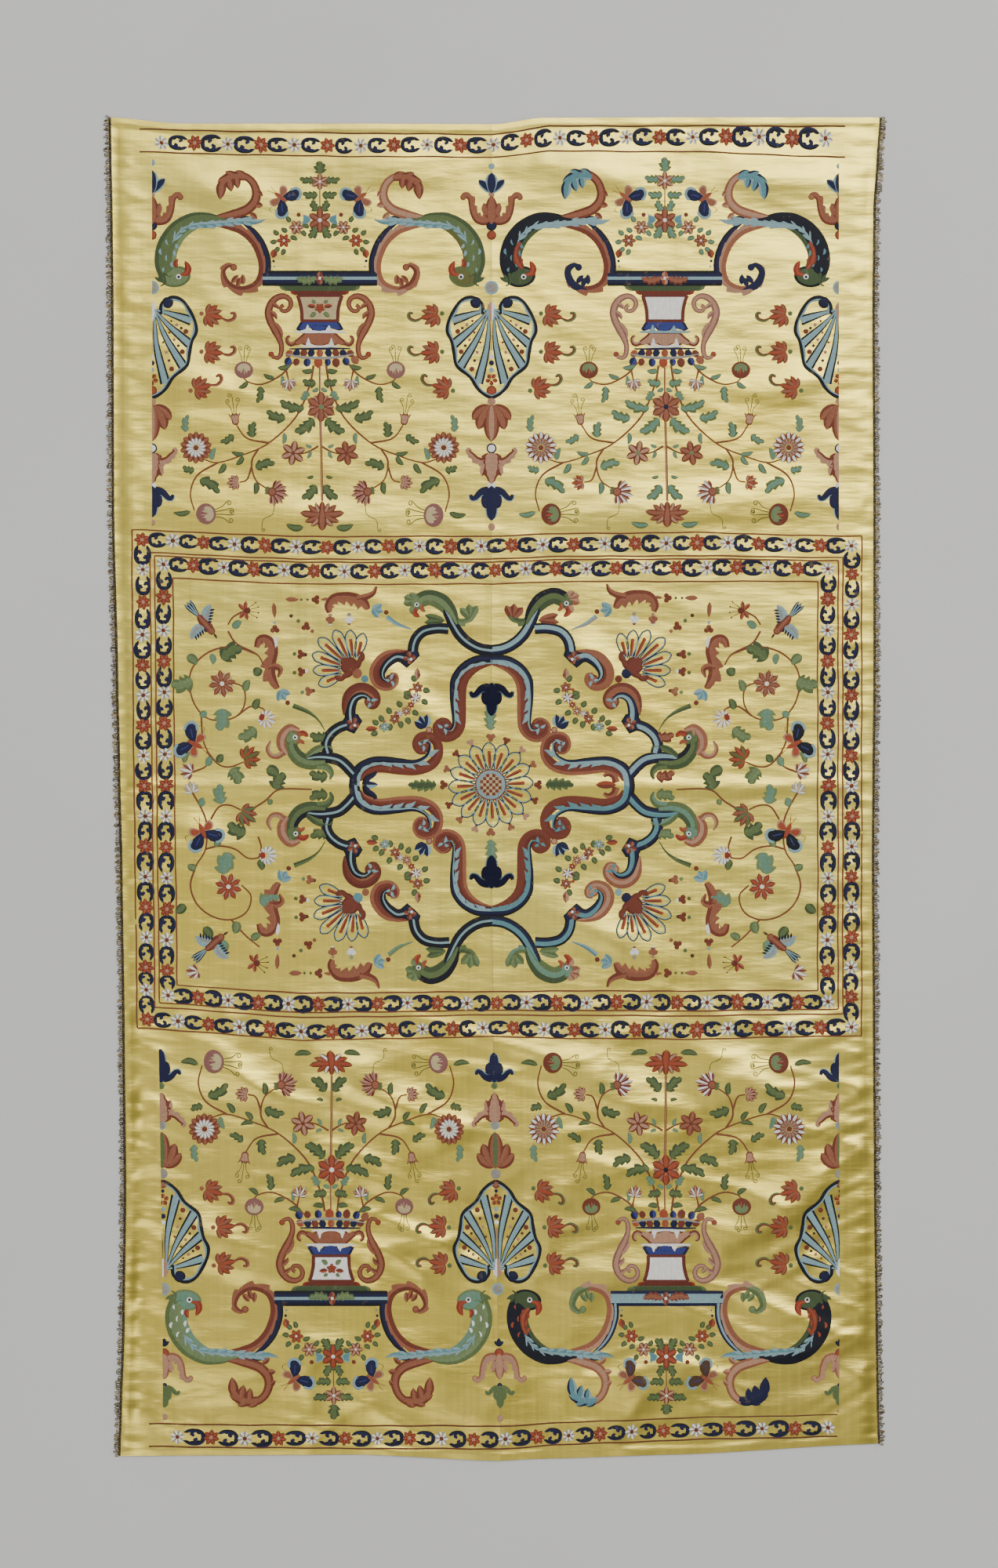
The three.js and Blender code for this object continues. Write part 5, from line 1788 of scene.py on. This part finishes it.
def medallion(pen):
    """The wheel of petals in the middle, its checkered heart and the sprigs about it."""
    for index in range(16):
        hollow_petal(pen.at(turn=index * 22.5 + 3), 19, 53, 7.6)
        tip = pen.at(turn=index * 22.5 + 3).at(61)
        if index % 4:
            trefoil(tip, ("brick", "salmon", "pink")[index % 3], 0.9)
            tip.disc(-6, 0, 1.6, "navy", 0.4, 6)
    pen.disc(0, 0, 20.5, ("brick", "salmon"), 0.6, 28, 0.93)
    pen.at(over=0.45).disc(0, 0, 18.4, ("sky", "sky"), 0.5, 28, 0.93)
    pen.at(over=0.85).disc(0, 0, 14.4, ("pink", "cream"), 0.3, 24, 0.93)
    checks = pen.at(over=1.16)
    for row in range(-3, 4):
        for place in range(-3, 4):
            if math.hypot(row, place) * 3.9 < 12.6 and (row + place) % 2 == 0:
                x, y = row * 3.9, place * 3.9
                checks.patch([(x - 2, y - 2), (x + 2, y - 2), (x + 2, y + 2), (x - 2, y + 2)], "brick", 0.2,
                             0.9)
    for turn, tones in ((0, ("green", "moss")), (180, ("green", "moss")), (90, ("sage", "mint")),
                        (270, ("sage", "mint"))):
        p = pen.at(turn=turn)
        trefoil(p.at(62), "brick" if turn % 180 == 0 else "salmon", 1.1)
        leaf(p.at(70), 36, 7, tones, 5, 0.02)
    left = pen.at(-160, 0)
    for half in left.twins():
        half.band(through([(0, 0), (1, 8), (9, 13), (12, 17), (9, 20)], 2), [5, 4.6, 4, 3.2, 2],
                  ("ink", "navy"), 0.7)
    left.at(over=0.2).blade(rod(-2, 16, 6), 4.4, ("navy", "sky"), 0.4, 1.4)
    right = pen.at(160, 0, turn=180)
    for half in right.twins():
        half.band(through([(0, 3), (3, 11), (10, 14), (16, 11)], 2), [4.8, 4.2, 3.4, 2], ("salmon", "brick"),
                  0.7)
    right.at(over=0.2).blade(rod(0, 26, 7), 5, ("brick", "orange"), 0.5, 1.4)


def flames(pen, line, offset, tone, every=6, lean=26, length=13, half=2.6):
    """Small pointed tongues that lick over from one lane of a strap to the next."""
    step = np.gradient(line, axis=0)
    for index in range(3, len(line) - 3, every):
        heading = bearing(*step[index])
        place = pen.at(line[index][0], line[index][1], turn=heading)
        way = -1 if lean > 0 else 1
        place.at(0, offset, turn=way * abs(lean), over=0.6).blade(
            through([(0, 0), (length * 0.55, -0.8 * way), (length, 1.6 * way)], 2.6), half, tone, 0.3, 1.5)


# A quarter of the strapwork, up and to the left: lines of its straps, in squares from the medallion
U_BAND = [(1, 172), (-15, 174.5), (-29, 181.5), (-40, 191.5), (-48, 204), (-55, 218), (-61, 229), (-68, 236)]
U_BRANCH = [(-55, 200), (-71, 200.5), (-86.5, 197), (-95.5, 189), (-99.5, 180), (-101, 170), (-104, 163)]
U_NOTCH = [(-106, 161), (-120, 164.5), (-129, 160), (-135.5, 153), (-139.5, 144), (-138, 136.5), (-132, 132)]
U_CRESCENT = [(-108, 172), (-122, 169), (-137, 163), (-147, 151), (-149, 140), (-144, 130), (-132, 126.5),
              (-123.5, 132), (-123, 140), (-129.5, 141.5)]
ARM_CORE = [(-168, 6), (-161, 16), (-144, 22), (-120, 20.5), (-95, 20.5), (-77, 27), (-68.5, 40), (-70, 55),
            (-80, 63), (-92, 62), (-97, 53), (-93, 44), (-84, 43)]
ARM_EDGE = [(-176, -1), (-175, 8), (-172, 18), (-163, 26.5), (-147, 32), (-120, 31), (-99, 30), (-85, 36),
            (-79.5, 45), (-79.5, 54), (-87, 56.5), (-92, 52.5), (-88.5, 49)]
TOP_CORE = [(0, 155), (-15, 152), (-27, 145), (-35, 135), (-38.7, 123), (-39.5, 106), (-39.5, 90),
            (-40.5, 75),
            (-47, 65), (-58.5, 61), (-68.5, 66), (-70.5, 76), (-62.5, 83), (-55, 79)]
TOP_EDGE = [(1, 160.5), (-20, 159), (-37, 150), (-47, 136), (-49.5, 121), (-50, 106), (-48.7, 90),
            (-48.7, 77),
            (-53, 71), (-60, 73), (-64.5, 77)]
STRAP_HALF = [1.2, 4, 5.4, 6, 6.6, 7, 7, 6.8, 6.4, 6, 5.8, 5.2, 4.6, 3]
EDGE_HALF = [7, 7, 6.4, 5.8, 5.4, 5.2, 4.4, 3.4, 2.8, 2.4, 1.9, 1.5, 0.8]
SIDE_BAND = [(-176, 14), (-187, 26), (-197, 33), (-212, 36), (-227, 36), (-242, 33)]
SIDE_BRANCH = [(-209.5, 41), (-212, 53), (-207, 64.5), (-197, 73), (-187, 77), (-180, 78)]
SIDE_NOTCH = [(-180, 80), (-181, 92), (-180, 101), (-176, 110), (-169, 114.5), (-162, 114.5), (-156, 110.5),
              (-152, 106)]
SIDE_CRESCENT = [(-189, 90), (-187, 102), (-182, 115), (-172, 123), (-160, 123), (-150, 116.5), (-147, 108),
                 (-151, 101), (-159, 101.5)]
U_ELBOW = [(-107, 172), (-95, 176), (-91.5, 166), (-99, 158), (-108.5, 150), (-116, 156), (-117, 167)]
SIDE_ELBOW = [(-190, 84), (-188, 71), (-175.5, 66), (-165.3, 82), (-171, 91), (-184, 93)]


def strapwork(pen, dyes):
    """A quarter of the straps and volutes about the medallion."""
    core, rim_tones, band = dyes["core"], dyes["edge"], dyes["band"]
    for line, rim, way, eye in ((ARM_CORE, ARM_EDGE, 1, (-88, 52)), (TOP_CORE, TOP_EDGE, -1, (-61, 74))):
        pen.disc(eye[0] - 1, eye[1] + 1, 12, core[:2], 0.7, 18)
        pen.band(through(line, 2.4), STRAP_HALF, core[::way], 0.9)
        rim = through(rim, 2.6)
        pen.at(over=0.3).band(rim, EDGE_HALF, rim_tones[::way], 0.9)
        flames(pen.at(over=0.2), rim[:-8], -3.0 * way, dyes["flame"], 6, 16 * way, 16, 3.0)
        volute_heart(pen, *eye, 60 * way - 20, dyes["flame"])
    for line, turn, eye in ((U_CRESCENT, 60, (-129, 134)), (SIDE_CRESCENT, 10, (-155, 107))):
        pen.disc(*eye, 8, dyes["crescent"][:2], 0.7, 14)
        pen.band(through(line, 2.2), [0.8, 4.5, 6.8, 7.6, 7.6, 7.4, 6.6, 5.6, 4.4, 2.6], dyes["crescent"],
                 1.0)
        volute_heart(pen, *eye, turn, dyes["flame"])
    for line in (U_NOTCH, SIDE_NOTCH):
        pen.at(over=0.45).band(through(line, 2.6), [7.4, 7.2, 6.8, 6, 4.6, 3, 0.8], band, 0.8)
    for line in (U_BRANCH, SIDE_BRANCH):
        pen.at(over=0.1).band(through(line, 3), 7, band, 0.9)
    for line in (U_BAND, SIDE_BAND):
        pen.at(over=0.2).band(through(line, 3), [7.4, 7.4, 7.4, 7.4, 6.8, 5.4, 2], band, 0.9)
    for outline, (x, y, turn) in ((U_ELBOW, (-105, 163, 100)), (SIDE_ELBOW, (-177, 79, 70))):
        pen.at(over=0.35).patch(outline, ("ink", "navy"), 0.7, 0.8)
        petals(pen.at(x, y, turn=turn, over=1.1), 4, 0.5, 8.4, 3.4, ("brick", "salmon"), 0.6)
        pen.at(over=1.5).disc(x + 2, y - 2, 2, "white", 0.4, 7)
    place = pen.at(-84, 74, turn=118)
    for turn in (-34, 34, 0):
        place.at(turn=turn).blade(rod(0, 17, 5), 5.8, ("navy", "navy", "sky"), 0.45, 1.3)
    pen.at(over=0.3).disc(-80, 71, 4.2, ("brick", "pink"), 0.6)


def strap_head(pen, line, dyes, half, crest, beak):
    """A leafy parrot head at the end of a strap; `beak` is the side that it bites towards."""
    spine = through(line, 2.6)
    pen.at(over=0.35).band(spine, half, dyes["head"], 1.0)
    (x, y), back = spine[-1], spine[-3]
    own = pen.at(x, y, turn=bearing(x - back[0], y - back[1]), over=0.4)
    own.disc(0, 0, 10.5, dyes["head"][:2], 0.9, 14)
    for turn, length in crest:
        own.at(1, 3 if turn > 0 else -3, turn=turn, over=0.25).blade(rod(0, length, 7), 5.6,
                                                                   dyes["crest"], 0.5, 0.9)
    for reach, size, tones in ((6, 1.0, ("red", "orange")), (-4, 0.75, ("orange", "salmon"))):
        bill = own.at(reach, beak * 7, turn=beak * 70, size=size, over=0.4)
        bill.blade(through([(-2, 0), (6, -beak * 1.5), (12, beak * 4)], 2), 3.6, tones, 0.4, 0.8)
    own.at(over=0.8).disc(2, beak * 3, 3.2, "white", 0.4, 9)
    own.at(over=1.15).disc(2, beak * 3, 1.6, "ink", 0.3, 7)


def heads(pen, dyes):
    """The two heads of a quarter, their leaves and curls."""
    strap_head(pen, [(-44, 206), (-52, 222), (-64, 236), (-80, 242), (-95, 236)], dyes,
               [3, 8.5, 11, 10.5, 10],
               ((28, 15), (-8, 16), (-44, 15), (-80, 12)), 1)
    tail = [(-48, 214), (-39, 209), (-29, 212), (-23, 221)]
    acanthus(pen.at(over=0.2), tail, [3, 4.4, 4.4, 3], dyes["head"][:2], 2)
    for turn in (62, 96, 134):
        pen.at(-27, 214, turn=turn, over=0.3).blade(rod(0, 19, 6), 5.2, dyes["tail_leaf"], 0.5, 0.9)
    for turn in (164, 186):
        pen.at(-60, 211, turn=turn, over=0.2).blade(rod(0, 26, 6), 4.6, dyes["side_leaf"], 0.5, 0.9)
    own = pen.at(over=0.3)
    own.band(through([(-246, 70), (-258, 72), (-267, 62), (-268, 50), (-262, 40)], 2.4), [3, 7, 8, 7, 4],
             ("salmon", "pink", "salmon"), 0.8)
    own.band(through([(-265, 46), (-272, 38), (-282, 38), (-287, 47), (-283, 57)], 2.2),
             [4.2, 3.6, 2.8, 2.8, 1],
             ("salmon", "pink"), 0.6)
    strap_head(pen, [(-213, 30), (-232, 29), (-247, 35), (-256, 48), (-255, 60)], dyes,
               [5, 8.5, 9.5, 8.5, 7.5],
               ((20, 9),), -1)
    for line in ([(-238, 34), (-224, 46), (-210, 50), (-204, 47)],
                 [(-226, 26), (-212, 24), (-205, 16), (-207, 8)]):
        pen.at(over=0.3).band(through(line, 2.4), [5, 5, 4, 1.2], dyes["head"][:2], 0.8)
    for x, y, turn in ((-209, 62, 172), (-210, 12, 168)):
        leaf(pen.at(x, y, turn=turn, over=0.2), 24, 6.8, dyes["side_leaf"], 3)


# Tips of a fan's petals, and its trails of beads: start, end, tones
FAN_TIPS = [(-220, 187), (-228, 167), (-227, 147), (-220, 129), (-200, 197), (-181, 197), (-164, 193)]
FAN_TRAILS = [
    ((-229, 197), (-256, 217), ("salmon", "brick", "green", "brown")),
    ((-238, 167), (-252, 168), ("brown", "brick", "green")),
    ((-237, 146), (-252, 144), ("white", "brick", "olive")),
    ((-228, 121), (-242, 119), ("brick", "salmon", "sage")),
    ((-206, 207), (-206, 218), ("white", "salmon", "pink")),
    ((-182, 207), (-182, 219), ("salmon", "white", "grey")),
]


def fan(pen, dyes):
    """The fan of outlined petals that springs from a leafy foot, with its trails of beads."""
    base_x, base_y = -176, 147
    for x, y in FAN_TIPS:
        length = math.hypot(x - base_x, y - base_y)
        turn = bearing(x - base_x, y - base_y)
        hollow_petal(pen.at(base_x, base_y, turn=turn), 16, length, 6.4)
    fleur(pen.at(base_x, base_y, turn=135, over=0.3), dyes["foot"], 0.82, True)
    pen.at(over=0.7).beads((-172, 143, 6.6, dyes["ball"]), (-162, 136, 4.8, dyes["small_ball"]))
    for start, end, tones in FAN_TRAILS:
        for index, tone in enumerate(tones):
            share = index / (len(tones) - 1)
            x, y = start[0] + (end[0] - start[0]) * share, start[1] + (end[1] - start[1]) * share
            if index == 1:
                turn = bearing(end[0] - start[0], end[1] - start[1])
                trefoil(pen.at(x, y, turn=turn), tone, 1.1)
            else:
                pen.disc(x, y, 2.6, tone, 0.5, 8)


def fan_scrolls(pen, dyes):
    """The two acanthus scrolls beyond a fan, with bells, beads and thin tails."""
    for line, curl in (([(-206, 222), (-208, 230), (-201, 240), (-187, 242), (-175, 240), (-163, 234),
                         (-157, 226)],
                        [(-172, 240), (-160, 243), (-151, 248), (-147, 257)]),
                       ([(-300, 176), (-296, 186), (-286, 185), (-280, 173), (-284, 154), (-283, 138),
                         (-273, 124)],
                        [(-286, 150), (-277, 152), (-270, 148), (-273, 138)])):
        acanthus(pen, line, [4, 6, 7, 7.4, 8, 7.4, 2.4], ("brick", "salmon", "salmon"), 6, 0.8)
        pen.at(over=0.3).band(through(curl, 2), [4.6, 4.4, 3.4, 1.2], ("salmon", "brick"), 0.6)
    for x, y, turn in ((-151, 226, -14), (-270, 120, -58)):
        p = pen.at(x, y, turn=turn)
        for lean in (-46, 46, 0):
            p.at(turn=lean).blade(rod(-2, 13, 5), 4.4, ("sky", "teal"), 0.4, 0.8)
        p.disc(17, 0, 3.2, "brick", 0.5)
    pen.band(through([(-134, 216), (-120, 206), (-102, 199)], 3), [3.0, 2.4, 0.6], dyes["tail"], 0.5)
    pen.band(through([(-254, 102), (-235, 94), (-222, 84), (-213, 70)], 3), [3.2, 2.6, 1.2, 0.5],
             ("green", "moss"), 0.5)
    drop(pen.at(-246, 239, turn=180), 17, 3.2, "salmon")
    pen.beads((-243, 239, 1.8, "green"), (-235, 239, 1.8, "olive"))
    trefoil(pen.at(-223, 239), "brick", 1.1)
    drop(pen.at(-218, 239, turn=8), 10, 2, "salmon")
    drop(pen.at(-277, 214, turn=94), 20, 3, ("salmon", "stem"))
    pen.beads((-277, 208, 2, "sky"), (-277, 203, 1.6, "pink"))
    trefoil(pen.at(-277, 198, turn=-90), "brick", 1.1)
    drop(pen.at(-277, 191, turn=-86), 16, 3, "white")
    pen.beads((-206, 215, 2.2, "salmon"), (-206, 208, 3, "mauve"))


# Flowers of a quarter's garland: x, y, petals, radius. Its leaves: x, y, turn
GARLAND = [(-95, 125, "salmon", 7.4), (-97, 112, "white", 7.6), (-109, 95, "pink", 6.4),
           (-124, 85, "salmon", 7),
           (-137, 75, "sky", 6.8), (-103, 103, "orange", 4.6), (-117, 92, "white", 4.4)]
GARLAND_LEAVES = [
    (-88, 121, -10), (-103, 118, 170), (-90, 108, -30), (-104, 112, 150), (-102, 94, -30), (-114, 101, 130),
    (-118, 82, -80), (-128, 92, 120), (-131, 79, -90), (-138, 82, 120), (-144, 79, 150), (-146, 69, 200),
    (-96, 133, 120), (-110, 86, -60),
]


def quarter_garland(pen):
    """A small hanging garland inside a quarter's straps."""
    drop(pen.at(-95, 150, turn=-90), 15, 4, ("salmon", "pink"))
    for x, y, turn in GARLAND_LEAVES:
        leaf(pen.at(x, y, turn=turn), 9.5, 3.4, ("moss", "green"))
    for x, y, tone, radius in GARLAND:
        blossom(pen.at(x, y, turn=20, over=0.2), radius, 6, "brick" if tone != "sky" else "sage", tone,
                "white")
    for index in range(11):
        share = index / 10
        x = -93 - 53 * share ** 1.3 + 5 * math.sin(index * 2.1)
        y = 136 - 64 * share ** 0.85 + 5 * math.cos(index * 2.6)
        pen.disc(x, y, 2.3, ("brick", "mauve", "orange")[index % 3], 0.5, 8)
    drop(pen.at(-146, 73, turn=184), 15, 3.6, ("brick", "orange"))


QUARTERS = [
    dict(name="upper_left", flip=False, down=False, dyes=dict(
        edge=("ink", "navy", "ink", "sky"), core=("rust", "brick", "brick"), flame="sky",
        band=("ink", "ink", "sky", "ink", "ink"), crescent=("rust", "brick", "salmon"),
        head=("green", "sage", "moss"), crest=("green", "sage"), tail_leaf=("green", "sage"),
        side_leaf=("moss", "green"), foot=("rust", "brick"), ball="salmon", small_ball="teal",
        tail=("teal", "sky"))),
    dict(name="upper_right", flip=True, down=False, dyes=dict(
        edge=("ink", "navy", "sky", "sky"), core=("rust", "brick", "salmon"), flame="sky",
        band=("ink", "navy", "sky", "sky", "ink"), crescent=("brick", "salmon", "salmon"),
        head=("moss", "green", "ink"), crest=("salmon", "pink"), tail_leaf=("salmon", "brick"),
        side_leaf=("brick", "salmon"), foot=("rust", "brick"), ball="navy", small_ball="brick",
        tail=("sky", "grey"))),
    dict(name="lower_left", flip=False, down=True, dyes=dict(
        edge=("ink", "navy", "sky", "ink"), core=("rust", "brick", "salmon"), flame="sky",
        band=("ink", "ink", "sky", "ink", "ink"), crescent=("rust", "brick", "salmon"),
        head=("moss", "green", "ink"), crest=("green", "sage"), tail_leaf=("green", "sage"),
        side_leaf=("moss", "green"), foot=("rust", "brick"), ball="teal", small_ball="salmon",
        tail=("sage", "mint"))),
    dict(name="lower_right", flip=True, down=True, dyes=dict(
        edge=("ink", "navy", "teal", "teal"), core=("rust", "brick", "brick"), flame="teal",
        band=("ink", "navy", "teal", "teal", "ink"), crescent=("salmon", "pink", "salmon"),
        head=("green", "mint", "moss"), crest=("salmon", "pink"), tail_leaf=("green", "sage"),
        side_leaf=("green", "sage"), foot=("rust", "brick"), ball="navy", small_ball="sky",
        tail=("teal", "sky"))),
]


def quarter_pen(pen, quarter):
    """The pen of a quarter: the first one's, mirrored across or along."""
    own = pen.at(0, 1.0, flip=quarter["flip"])
    return own.at(turn=180, flip=True) if quarter["down"] else own


def middle_field():
    """Medallion, straps, heads, fans and garlands."""
    embroidery("medallion", lambda pen: medallion(pen.at(-1, 2)), 40)
    for number, quarter in enumerate(QUARTERS):
        def straps(pen, quarter=quarter):
            own = quarter_pen(pen, quarter)
            strapwork(own, quarter["dyes"])
            heads(own, quarter["dyes"])
            place, turn = (-126, 90) if quarter["down"] else (128, -90)
            fleur(pen.at(0, place, turn=turn), ("sky", "navy"))
        embroidery("straps_" + quarter["name"], straps, 41 + number)

        def sprigs(pen, quarter=quarter):
            own = quarter_pen(pen, quarter)
            fan(own, quarter["dyes"])
            fan_scrolls(own, quarter["dyes"])
            quarter_garland(own)
        embroidery("fan_" + quarter["name"], sprigs, 45 + number)


# Vines of the middle field: the lines of their stems, and each leaf's x, y, turn, length and half width
VINE_STEMS = [
    [(-337, 198), (-326, 182), (-301, 169), (-291, 155)], [(-315, 224), (-330, 216), (-337, 206)],
    [(-301, 169), (-330, 178), (-360, 172), (-381, 154), (-387, 132), (-381, 106), (-366, 88), (-346, 84),
     (-326, 90), (-316, 106), (-318, 126), (-334, 133)],
    [(-326, 90), (-308, 102), (-291, 98), (-294, 90)], [(-372, 92), (-370, 60), (-362, 40)],
    [(-365, 45), (-350, 28), (-335, 25), (-318, 31)], [(-384, 18), (-366, 26), (-362, 40)],
    [(-384, -8), (-372, -30), (-366, -50), (-368, -80), (-380, -100)],
    [(-361, -42), (-350, -26), (-336, -24), (-322, -30)],
    [(-306, -28), (-290, -18), (-277, -6), (-262, -3), (-230, -4)],
    [(-368, -80), (-350, -76), (-330, -80), (-312, -92), (-292, -89)],
    [(-300, -64), (-296, -78), (-300, -92)],
    [(-380, -100), (-388, -126), (-380, -150), (-360, -166), (-336, -170), (-316, -160), (-310, -140),
     (-322, -126)],
    [(-336, -170), (-318, -190), (-300, -205)],
]
VINE_LEAVES = [
    (-390, 166, 320, 17, 5), (-359, 169, 280, 14, 3.4), (-345, 162, 30, 30, 9), (-383, 135, 190, 28, 9),
    (-346, 99, 262, 28, 9), (-298, 152, 240, 12, 5), (-315, 121, 70, 16, 4), (-330, 201, 40, 14, 4),
    (-303, 98, 65, 15, 4), (-302, 74, 208, 26, 7), (-372, 88, 40, 10, 4), (-289, 22, -30, 18, 6),
    (-335, 22, -60, 22, 8), (-362, 38, 250, 13, 4), (-350, 30, 60, 12, 4), (-395, 30, 60, 16, 3),
    (-346, -22, 95, 25, 7), (-277, -4, 60, 24, 8), (-284, -16, 250, 8, 3), (-372, -26, 80, 12, 4),
    (-316, -60, 150, 26, 8), (-352, -66, 250, 12, 4), (-340, -84, 262, 26, 7), (-300, -94, 290, 14, 4),
    (-380, -104, 160, 12, 4), (-345, -112, 80, 28, 8), (-396, -150, 220, 16, 5), (-330, -172, 260, 16, 5),
    (-298, -150, 20, 26, 8), (-372, -180, 300, 18, 5), (-310, -196, 30, 14, 4), (-345, -196, 240, 20, 6),
]


def vine(pen, wing):
    """A climbing vine with birds and butterflies, beside the straps."""
    for stem in VINE_STEMS:
        pen.band(through(stem, 4), [1.3, 1.1, 1.0], ("stem", "brick"), 0.5)
    for index, (x, y, turn, length, half) in enumerate(VINE_LEAVES):
        tones = (("green", "sage"), ("sage", "mint"), ("moss", "green"))[index % 3]
        leaf(pen.at(x, y, turn=turn, over=0.15), length, half * 1.15, tones, 3 if length > 20 else 0)
    over = pen.at(over=0.3)
    blossom(over.at(-345, 131, turn=10), 17, 8, "brick", "salmon", "white", ("pink", "cream"))
    blossom(over.at(-339, -128, turn=30), 17, 8, "brick", "orange", "white", ("pink", "cream"))
    stamen_flower(over.at(-315, 224, turn=4))
    stamen_flower(over.at(-307, -225, turn=-10))
    daisy(over.at(-291, 87, turn=-20), 14, 11, "white", "pink", "red")
    daisy(over.at(-291, -88), 14, 12, "white", "grey", "red")
    bird(over.at(-366, 207, turn=-48))
    bird(over.at(-359, -200, turn=40), "brick", wing, "sky")
    butterfly(over.at(-380, 54, turn=110), wing, "sky", "orange")
    butterfly(over.at(-372, -57, turn=-110), wing, "sky", "orange")
    bud(over.at(-318, 34, turn=25, size=0.95), "brick", "orange", "olive")
    bud(over.at(-322, -32, turn=-35, size=0.95), "brick", "salmon", "green")
    bud(over.at(-384, 18, turn=165, size=0.7), "pink", "brick", "white")
    bud(over.at(-384, -8, turn=105, size=0.62), "grey", "white", "cream")
    bud(over.at(-380, -236, turn=200, size=0.7), "pink", "brick", "white")


def vines():
    """A vine on each side of the middle field."""
    embroidery("vine_left", lambda pen: vine(pen, "navy"), 50)
    embroidery("vine_right", lambda pen: vine(pen.at(6, 0, flip=True), "ink"), 51)


satin_panel(-1)
satin_panel(1)
embroidery("border_lines", draw_lines, 1)
border_chains()
urns()
columns()
middle_field()
vines()
fringes()
sewing()

# Floor, lights and camera
CAMERA_HEIGHT = 15.0
VIEW_HEIGHT = 3.0                  # what the picture shows from top to bottom, at the cloth
VIEW_MIDDLE = (0.006, 0.00975)
SENSOR = 36.0                      # in millimetres
FLOOR_HALF = 9.0
FLOOR_DROP = 0.0006                # the floor lies this far under the cloth
WALL_LIGHT = 0.8                   # the world's strength at the horizon
CEILING_LIGHT = 0.08               # and straight above
LIGHTS = records(
    "name place size power",
    ("key", (2.0, 4.2, 13.0), (4.0, 4.0), 960),
    ("low", (-3.2, -4.6, 12.0), (3.0, 3.0), 330),
    ("rake", (4.2, 3.2, 3.0), (1.6, 1.6), 55),
)


def floor():
    """The surface that the cloth lies on."""
    mesh = bpy.data.meshes.new("floor")
    corners = [(-1, -1), (1, -1), (1, 1), (-1, 1)]
    mesh.from_pydata([(x * FLOOR_HALF, y * FLOOR_HALF, -FLOOR_DROP) for x, y in corners], [], [(0, 1, 2, 3)])
    mesh.materials.append(floor_material())
    made = bpy.data.objects.new("floor", mesh)
    bpy.context.scene.collection.objects.link(made)


def soft_light(name, place, size, power):
    """A square lamp that faces the cloth's middle."""
    lamp = bpy.data.lights.new(name, "AREA")
    lamp.shape = "RECTANGLE"
    lamp.size, lamp.size_y = size
    lamp.energy = power
    made = bpy.data.objects.new(name, lamp)
    made.location = place
    made.rotation_euler = (-Vector(place)).to_track_quat("-Z", "Y").to_euler()
    bpy.context.scene.collection.objects.link(made)


def camera():
    """A long lens straight above the cloth."""
    lens = bpy.data.cameras.new("camera")
    lens.sensor_fit = "VERTICAL"
    lens.sensor_height = SENSOR
    lens.lens = SENSOR * CAMERA_HEIGHT / VIEW_HEIGHT
    lens.clip_end = 100.0
    made = bpy.data.objects.new("camera", lens)
    made.location = (VIEW_MIDDLE[0] + SHIFT.x, VIEW_MIDDLE[1] + SHIFT.y, CAMERA_HEIGHT)
    bpy.context.scene.collection.objects.link(made)
    bpy.context.scene.camera = made


def world_light():
    """Pale studio walls under a dim ceiling."""
    world = bpy.data.worlds.new("studio")
    world.use_nodes = True
    tree = world.node_tree
    way = tree.nodes.new("ShaderNodeTexCoord")
    split = tree.nodes.new("ShaderNodeSeparateXYZ")
    walls = tree.nodes.new("ShaderNodeMapRange")
    walls.inputs["To Min"].default_value = WALL_LIGHT
    walls.inputs["To Max"].default_value = CEILING_LIGHT
    tree.links.new(way.outputs["Generated"], split.inputs[0])
    tree.links.new(split.outputs["Z"], walls.inputs["Value"])
    tree.links.new(walls.outputs[0], tree.nodes["Background"].inputs["Strength"])
    tree.nodes["Background"].inputs["Color"].default_value = (0.9, 0.94, 1.0, 1.0)
    bpy.context.scene.world = world


floor()
for light in LIGHTS:
    soft_light(**light)
camera()
world_light()
